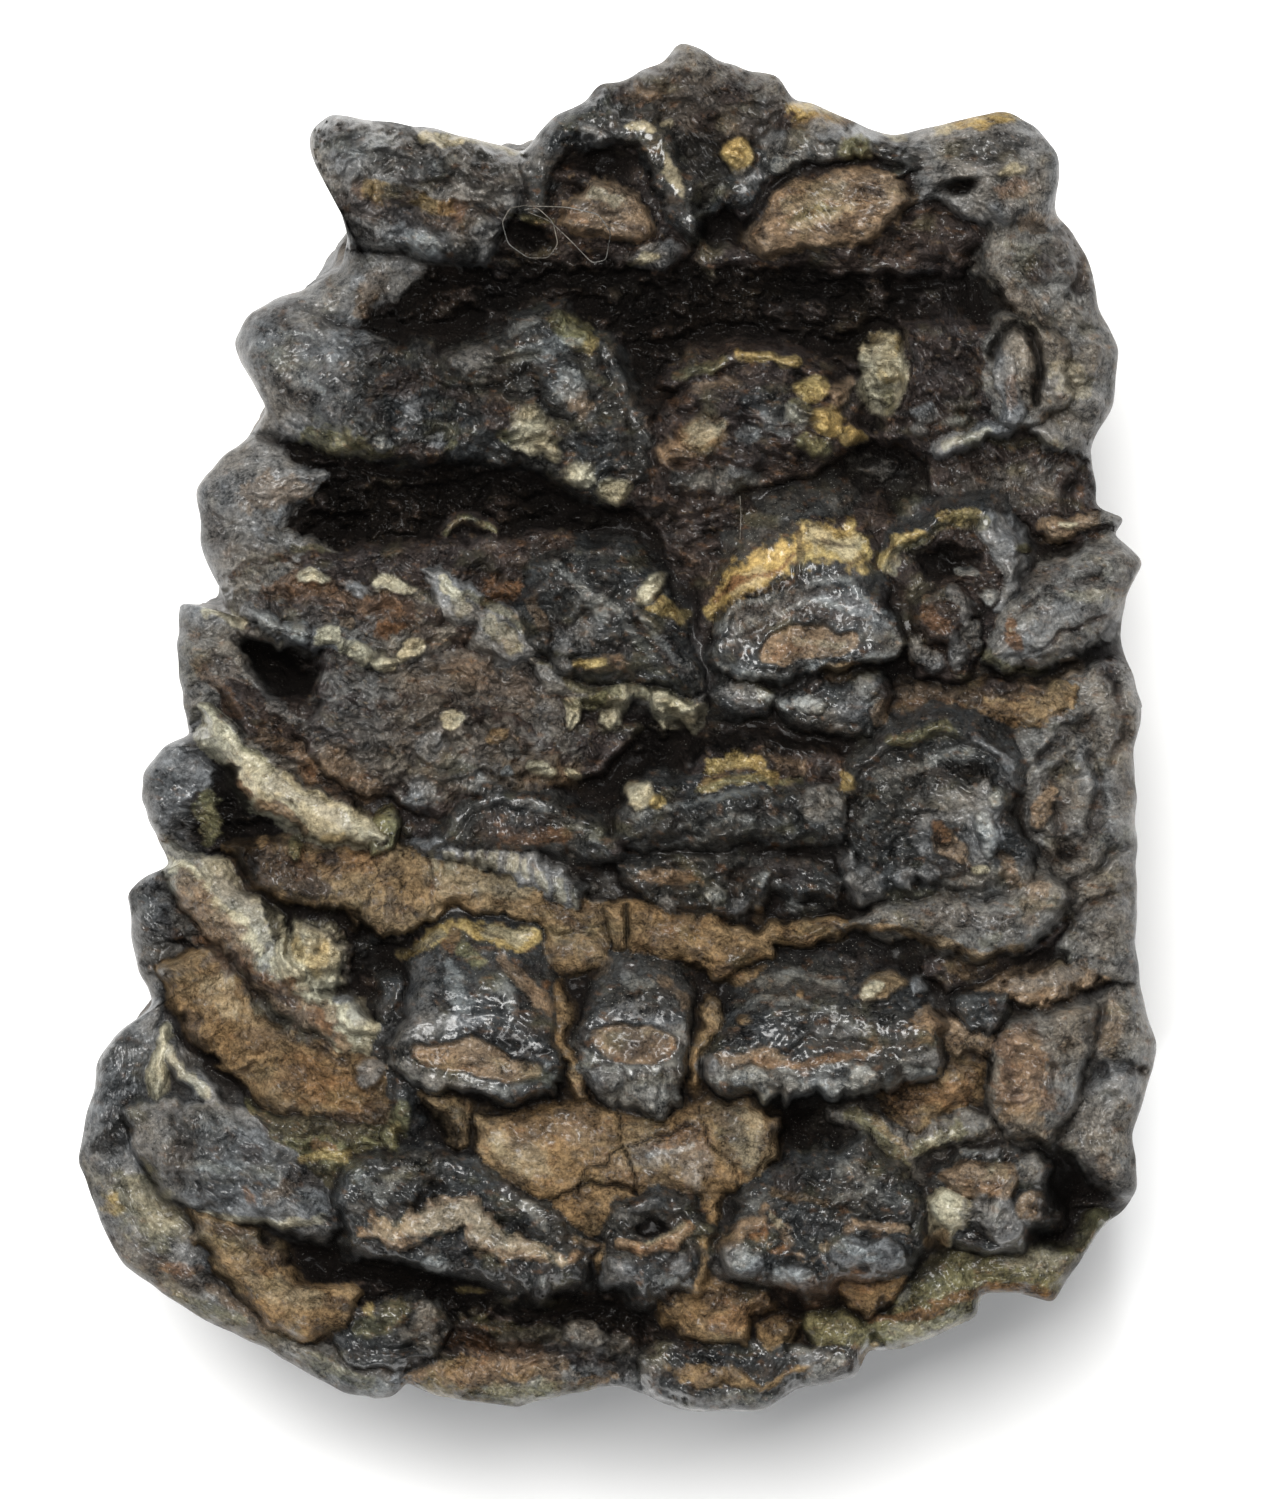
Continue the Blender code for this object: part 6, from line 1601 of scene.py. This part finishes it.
def make_root_side(material):
    """The sides and the blunt root side, closed on top inside the tooth.

    The outline is carried down with a scale and a softening that grow with depth, bent by plate ribs and
    vertical flutes, to a rounded foot and the flat spot.
    """
    around = np.linspace(0.0, 2.0 * np.pi, SIDE_ROUND, endpoint=False)
    edge_z = rim_heights(around)
    edge_x, edge_y = outline_place(around, np.ones_like(around))
    window = int(26 * COARSE)
    blurred_x = np.mean([np.roll(edge_x, step) for step in range(-window, window + 1)], axis=0)
    blurred_y = np.mean([np.roll(edge_y, step) for step in range(-window, window + 1)], axis=0)
    down = np.linspace(0.0, 1.0, SIDE_DOWN)[:, None]
    turn = around[None, :] + 0.0 * down
    top = edge_z[None, :] - START_MM
    foot = smooth(0.72, 1.0, down)
    height = np.clip(1.0 - down / 0.80, 0.0, 1.0)
    z = top * height ** 0.9
    depth = np.clip(edge_z[None, :] - z, 0.0, None)
    soft = smooth(2.0, 26.0, depth)
    ring_x = edge_x[None, :] * (1.0 - soft) + blurred_x[None, :] * soft
    ring_y = edge_y[None, :] * (1.0 - soft) + blurred_y[None, :] * soft
    radius = np.hypot(ring_x, ring_y)
    scale = START_SCALE + (SHOULDER_SCALE - START_SCALE) * smooth(2.0, 9.0, depth)
    scale = scale - (SHOULDER_SCALE - BASE_SCALE) * np.clip(depth / 40.0, 0.0, 1.0) ** 1.8
    inward = np.clip((down - 0.80) / 0.20, 0.0, 1.0)
    round_foot = smooth(0.0, FOOT_MM, z)
    scale = scale * (0.93 + 0.07 * round_foot ** 0.5) * (1.0 - inward)
    front_side = np.abs(np.sin(turn)) ** 3
    x_mm = edge_x[None, :] + 0.0 * down
    y_mm = edge_y[None, :] + 0.0 * down
    wander = 0.16 * z + 0.9 * waves(turn * 5.0, z / 12.0, 301)
    plates = np.cos(2.0 * np.pi * (y_mm + wander) / PLATE_MM + 0.6)
    flutes = np.cos(2.0 * np.pi * (x_mm + 1.5 * waves(turn * 4.0, z / 16.0, 302)) / FLUTE_MM)
    plain = smooth(0.0, 6.0, depth) * (1.0 - inward)
    relief = 0.9 * plates * (1.0 - front_side) + 0.7 * flutes * front_side
    relief = relief + 0.5 * rough(x_mm / 6.0 + 40.0, y_mm / 6.0 + z / 9.0, 303, 3)
    arc = turn * 45.0
    grain = rough(arc / 1.7, z / 5.0, 305, 4)
    first = grains(arc / 2.2, z / 2.6 + 100.0, 307)[0]
    relief = relief + 0.16 * grain + 0.25 * (0.45 - first)
    grow = scale + relief * plain / radius
    base_bump = 0.35 * rough(x_mm * (1.0 - inward) / 3.0, y_mm * (1.0 - inward) / 3.0 + 50.0, 309, 4)
    z = z + (1.0 - round_foot) * foot * np.clip(0.5 - inward, 0.0, 0.5) * 2.0
    z = z + np.clip(base_bump, 0.0, None) * smooth(0.0, 0.2, inward) * (1.0 - smooth(0.35, 0.6, inward))
    shift = LEAN_MM * smooth(4.0, 30.0, depth) * (1.0 - inward)
    px = MIDDLE_X + ring_x * grow * PIXELS_PER_MM
    py = MIDDLE_Y - (ring_y * grow + shift) * PIXELS_PER_MM
    points = in_metres(px[:-1], py[:-1], z[:-1])

    count = points.shape[0] + 1
    lid = points[0] * np.array([0.9, 0.9, 1.0])
    lid[:, 2] = points[0][:, 2] - 0.004
    rows = np.concatenate([lid[None, :, :], points])
    base = np.array([points[-1][:, 0].mean(), points[-1][:, 1].mean(), 0.0])
    crown = np.array([0.0, 0.0, 0.028])
    flat = np.concatenate([rows.reshape(-1, 3), base[None, :], crown[None, :]])
    index = np.arange(count * SIDE_ROUND).reshape(count, SIDE_ROUND)
    right = np.roll(index, -1, axis=1)
    walls = np.stack([index[:-1], index[1:], right[1:], right[:-1]], axis=-1).reshape(-1, 4)
    under = np.stack([index[-1], np.full(SIDE_ROUND, count * SIDE_ROUND), right[-1]], axis=1)
    over = np.stack([index[0], right[0], np.full(SIDE_ROUND, count * SIDE_ROUND + 1)], axis=1)

    bands = smooth(-0.3, 0.6, plates) * (1.0 - front_side) + smooth(-0.8, 0.2, flutes) * front_side
    shares = {name: np.zeros_like(z) for name in TISSUES}
    shares["umber"] += 0.4
    shares["tan"] += 0.8 * smooth(-0.2, 0.8, rough(arc / 9.0, z / 11.0, 311, 3)) * (1.0 - bands)
    shares["worn"] += 1.1 * bands * (1.0 - 0.5 * smooth(0.0, 0.6, grain))
    shares["wall"] += 0.9 * smooth(-0.3, 0.5, np.cos(turn)) + 0.25
    shares["cream"] += 0.5 * bands * smooth(0.3, 1.0, rough(arc / 4.0, z / 14.0, 313, 3))
    shares["rust"] += 0.35 * smooth(0.3, 0.9, rough(arc / 6.0, z / 6.0, 315, 3))
    shares["dentine"] += smooth(0.0, 0.3, inward) * 0.8
    shares["pit"] += 0.35 * smooth(0.5, 0.8, first)
    stacked = np.stack([shares[name] for name in TISSUES], axis=-1)[:-1]
    stacked = stacked / stacked.sum(axis=-1, keepdims=True)
    stacked = np.concatenate([stacked[:1], stacked]).reshape(-1, len(TISSUES))
    factors = over_factors(np.concatenate([stacked, stacked[-1:], stacked[:1]]))
    # Painted shade in the grooves of the sides: deeper where the relief sinks
    sunk = np.clip(-0.4 * relief, -0.6, 0.9)[:-1]
    sunk = np.concatenate([sunk[:1], sunk]).ravel()
    new_piece("root_side", flat, [walls, under, over], factors, np.concatenate([sunk, [0.0, 0.0]]), material)


def make_fibres(material):
    """Fine fibres that cling to the face: thin tubes along smoothed lines."""
    around = np.linspace(0.0, 2.0 * np.pi, FIBRE_SIDES, endpoint=False)
    for number, line in enumerate(FIBRES):
        line = np.array(line, dtype=float)
        place = np.linspace(0.0, len(line) - 1.0, 12 * len(line))
        path = np.stack([np.interp(place, np.arange(len(line)), line[:, axis]) for axis in range(3)], axis=1)
        for _ in range(6):
            path[1:-1] = 0.25 * path[:-2] + 0.5 * path[1:-1] + 0.25 * path[2:]
        points = in_metres(path[:, 0], path[:, 1], path[:, 2])
        along = np.gradient(points, axis=0)
        along = along / np.linalg.norm(along, axis=1, keepdims=True)
        side = np.cross(along, [0.0, 0.0, 1.0])
        side = side / np.linalg.norm(side, axis=1, keepdims=True)
        up = np.cross(side, along)
        ring = side[:, None, :] * np.cos(around)[None, :, None]
        ring = ring + up[:, None, :] * np.sin(around)[None, :, None]
        tube = (points[:, None, :] + FIBRE_MM * MM * ring).reshape(-1, 3)
        index = np.arange(len(tube)).reshape(len(points), FIBRE_SIDES)
        right = np.roll(index, -1, axis=1)
        walls = np.stack([index[:-1], right[:-1], right[1:], index[1:]], axis=-1).reshape(-1, 4)
        ends = np.stack([index[0, ::-1], index[-1]])
        share = np.tile(np.array(TISSUES) == "wall", (len(tube), 1)).astype(float)
        factors = over_factors(share)
        new_piece(f"fibre_{number + 1}", tube, [walls, ends], factors, np.zeros(len(tube)), material)


class Shade:
    """One output of a shader node. Python's operators on it add Math nodes."""

    def __init__(self, maker, socket):
        self.maker = maker
        self.socket = socket

    def __add__(self, other):
        return self.maker.math("ADD", self, other)

    def __sub__(self, other):
        return self.maker.math("SUBTRACT", self, other)

    def __rsub__(self, other):
        return self.maker.math("SUBTRACT", other, self)

    def __mul__(self, other):
        return self.maker.math("MULTIPLY", self, other)

    def __truediv__(self, other):
        return self.maker.math("DIVIDE", self, other)

    __radd__ = __add__
    __rmul__ = __mul__


class Finish:
    """A material that is made of expressions: add puts in any node, and its links or values."""

    def __init__(self, name):
        self.material = bpy.data.materials.new(name)
        self.material.use_nodes = True
        self.tree = self.material.node_tree
        self.shader = self.tree.nodes["Principled BSDF"]

    def add(self, kind, settings, sockets, output=0):
        """A node of some type, with its settings set first, and then its sockets' values or links."""
        node = self.tree.nodes.new(kind)
        for name, value in settings.items():
            setattr(node, name, value)
        for key, value in sockets.items():
            self.feed(node.inputs[key], value)
        return Shade(self, node.outputs[output])

    def feed(self, socket, value):
        """Link a socket to a shade, or set its value."""
        if isinstance(value, Shade):
            self.tree.links.new(value.socket, socket)
        else:
            socket.default_value = value

    def math(self, operation, first, second, clamp=False):
        return self.add("ShaderNodeMath", {"operation": operation, "use_clamp": clamp}, {0: first, 1: second})

    def clamped(self, value, low=0.0, high=1.0):
        return self.add("ShaderNodeMapRange", {"clamp": True},
                        {"Value": value, "From Min": low, "From Max": high, "To Min": 0.0, "To Max": 1.0})

    def mix(self, first, second, factor, blend="MIX"):
        """One colour laid over another by a factor."""
        return self.add("ShaderNodeMix", {"data_type": "RGBA", "blend_type": blend},
                        {0: factor, 6: first, 7: second}, output=2)

    def noise(self, place, scale, detail=4.0, roughness=0.6, kind="FBM"):
        return self.add("ShaderNodeTexNoise", {"noise_type": kind},
                        {"Vector": place, "Scale": scale, "Detail": detail, "Roughness": roughness})


def linear(red, green, blue):
    """A colour as a screen shows it, from 0 to 255, to the linear light that shaders use."""
    parts = np.array([red, green, blue]) / 255.0
    light = np.where(parts <= 0.04045, parts / 12.92, ((parts + 0.055) / 1.055) ** 2.4)
    return (*light.tolist(), 1.0)


# Each tissue's darker and lighter colour, its roughness, how strong its fine bump is, and its wet gloss
TISSUE_LOOKS = {
    "enamel": ((8, 9, 10), (58, 59, 59), 0.40, 0.8, 0.7),
    # Pale glossy enamel, also used for painted glints and highlights on beads and flanks
    "pearl": ((46, 49, 51), (146, 148, 146), 0.40, 0.5, 0.6),
    "worn": ((34, 35, 36), (116, 116, 116), 0.46, 0.45, 0.4),
    "cream": ((80, 76, 62), (176, 170, 148), 0.50, 0.45, 0.35),
    "amber": ((74, 60, 32), (178, 158, 108), 0.50, 0.6, 0.4),
    "dentine": ((38, 31, 25), (134, 115, 95), 0.55, 0.8, 0.3),
    "tan": ((44, 35, 25), (136, 115, 87), 0.90, 1.4, 0.0),
    "umber": ((13, 11, 11), (66, 58, 55), 0.65, 1.7, 0.35),
    "rust": ((30, 22, 16), (116, 84, 58), 0.60, 1.0, 0.25),
    "wall": ((34, 33, 32), (116, 113, 108), 0.60, 0.9, 0.25),
    # Near-black: partly dark cement, partly painted shade deep in valleys, pits and undercuts
    "pit": ((1, 1, 1), (18, 15, 13), 0.80, 2.0, 0.15),
    "olive": ((30, 29, 21), (112, 108, 80), 0.50, 0.8, 0.5),
}


def tooth_finish():
    """The tooth's one finish: tissue colours over each other, mottled, darker in hollows as painted shade,
    with painted glints and fine grain.
    """
    finish = Finish("fossil_tooth_finish")
    place = finish.add("ShaderNodeTexCoord", {}, {}, output=3)
    factors = []
    for group in range(4):
        settings = {"attribute_type": "GEOMETRY", "attribute_name": f"tissue_{group}"}
        stored = finish.add("ShaderNodeAttribute", settings, {}, output=1)
        split = finish.tree.nodes.new("ShaderNodeSeparateXYZ")
        finish.tree.links.new(stored.socket, split.inputs[0])
        factors += [Shade(finish, split.outputs[axis]) for axis in range(3)]
    # The last stored column is the depth of painted shade in hollows
    hollow = factors.pop()

    blotch = finish.noise(place, 240.0, 4.0, 0.6)
    mottle = finish.noise(place, 700.0, 5.0, 0.68)
    speck = finish.noise(place, 3400.0, 3.0, 0.7)
    shade = finish.clamped(0.42 * blotch + 0.55 * mottle + 0.55 * speck, 0.60, 0.95)
    for name, factor in zip(TISSUES, [None] + factors):
        dark, light, rough_value, bump_value, wet_value = TISSUE_LOOKS[name]
        tissue = finish.mix(linear(*dark), linear(*light), shade)
        if factor is None:
            colour = tissue
            gloss = rough_value
            grit = bump_value
            wet = wet_value
        else:
            colour = finish.mix(colour, tissue, factor)
            gloss = gloss + factor * (rough_value - gloss)
            grit = grit + factor * (bump_value - grit)
            wet = wet + factor * (wet_value - wet)
    warmth = finish.clamped(finish.noise(place, 130.0, 5.0, 0.6), 0.40, 0.62)
    warm = finish.mix(colour, (1.09, 1.0, 0.88, 1.0), 1.0, "MULTIPLY")
    cool = finish.mix(colour, (0.95, 1.0, 1.04, 1.0), 1.0, "MULTIPLY")
    colour = finish.mix(cool, warm, warmth)
    # Painted shade: the colour darkened towards near-black by the depth of the hollow
    painted_shade = finish.clamped(hollow, 0.0, 1.5)
    colour = finish.mix(colour, linear(10, 8, 7), painted_shade * 0.9)

    # Painted glints: tiny pale specks where the tissue is wet and glossy
    painted_glints = finish.clamped(finish.noise(place, 7000.0, 1.0, 0.5), 0.70, 0.78)
    colour = finish.mix(colour, linear(205, 202, 192), painted_glints * wet * 0.55)
    gloss = gloss + (mottle - 0.5) * 0.30 + painted_shade * 0.2
    wet = wet * (1.0 - 0.8 * painted_shade) * finish.clamped(blotch, 0.30, 0.55)
    coarse = finish.noise(place, 1100.0, 6.0, 0.68)
    fine = finish.noise(place, 3600.0, 3.0, 0.65)
    crumbs = finish.add("ShaderNodeTexVoronoi", {}, {"Vector": place, "Scale": 1500.0})
    height = (0.18 * coarse + 0.34 * fine - 0.15 * crumbs) * grit
    bump = finish.add("ShaderNodeBump", {}, {"Strength": 0.8, "Distance": 0.0007, "Height": height})
    finish.feed(finish.shader.inputs["Base Color"], colour)
    finish.feed(finish.shader.inputs["Roughness"], gloss)
    finish.feed(finish.shader.inputs["Normal"], bump)
    finish.feed(finish.shader.inputs["Coat Weight"], wet)
    finish.shader.inputs["Coat Roughness"].default_value = 0.24
    finish.shader.inputs["Specular IOR Level"].default_value = 0.03
    return finish.material


def make_light(name, place_mm, size_mm, watts, colour):
    """A soft square lamp that looks at the middle of the chewing face."""
    lamp = bpy.data.lights.new(name, "AREA")
    lamp.size = size_mm * MM
    lamp.energy = watts
    lamp.color = colour
    holder = bpy.data.objects.new(name, lamp)
    place = np.array(place_mm, dtype=float) * MM
    holder.location = place.tolist()
    away = Vector(place.tolist()) - Vector((0.0, 0.0, 0.04))
    holder.rotation_euler = away.to_track_quat("Z", "Y").to_euler()
    bpy.context.scene.collection.objects.link(holder)


def make_studio():
    """A near-white floor, a pale sky, a broad lamp from the back and smaller ones for the glints."""
    mesh = bpy.data.meshes.new("floor")
    half = 3.0
    mesh.from_pydata([(-half, -half, 0.0), (half, -half, 0.0), (half, half, 0.0), (-half, half, 0.0)], [],
                     [(0, 1, 2, 3)])
    paper = Finish("pale_paper")
    paper.shader.inputs["Base Color"].default_value = (0.93, 0.93, 0.93, 1.0)
    paper.shader.inputs["Roughness"].default_value = 0.9
    mesh.materials.append(paper.material)
    floor = bpy.data.objects.new("floor", mesh)
    bpy.context.scene.collection.objects.link(floor)

    make_light("sky_window", (-130.0, 330.0, 1290.0), 640.0, 36.0, (1.0, 0.99, 0.97))
    make_light("glint_lamp", (60.0, 560.0, 900.0), 60.0, 2.0, (0.96, 0.98, 1.0))
    make_light("front_glint", (-120.0, -420.0, 1000.0), 60.0, 2.3, (0.96, 0.98, 1.0))
    world = bpy.data.worlds.new("pale_sky")
    world.use_nodes = True
    world.node_tree.nodes["Background"].inputs["Color"].default_value = (0.98, 0.99, 1.0, 1.0)
    world.node_tree.nodes["Background"].inputs["Strength"].default_value = 0.17
    bpy.context.scene.world = world


def make_camera():
    """A camera far above, looking straight down, so that its frame is the photograph's."""
    lens = bpy.data.cameras.new("above")
    lens.sensor_width = SENSOR_MM
    lens.lens = SENSOR_MM * CAMERA_RISE_MM / (PHOTO_HEIGHT / PIXELS_PER_MM)
    lens.clip_start = 0.1
    lens.clip_end = 10.0
    camera = bpy.data.objects.new("above", lens)
    middle_x = (0.5 * PHOTO_WIDTH - MIDDLE_X) / PIXELS_PER_MM
    middle_y = (MIDDLE_Y - 0.5 * PHOTO_HEIGHT) / PIXELS_PER_MM
    camera.location = (middle_x * MM, middle_y * MM, (CREST_MM + CAMERA_RISE_MM) * MM)
    bpy.context.scene.collection.objects.link(camera)
    bpy.context.scene.camera = camera


bpy.context.scene.view_settings.view_transform = "Standard"
tooth = tooth_finish()
make_face_bands(tooth)
make_root_side(tooth)
make_fibres(tooth)
make_studio()
make_camera()
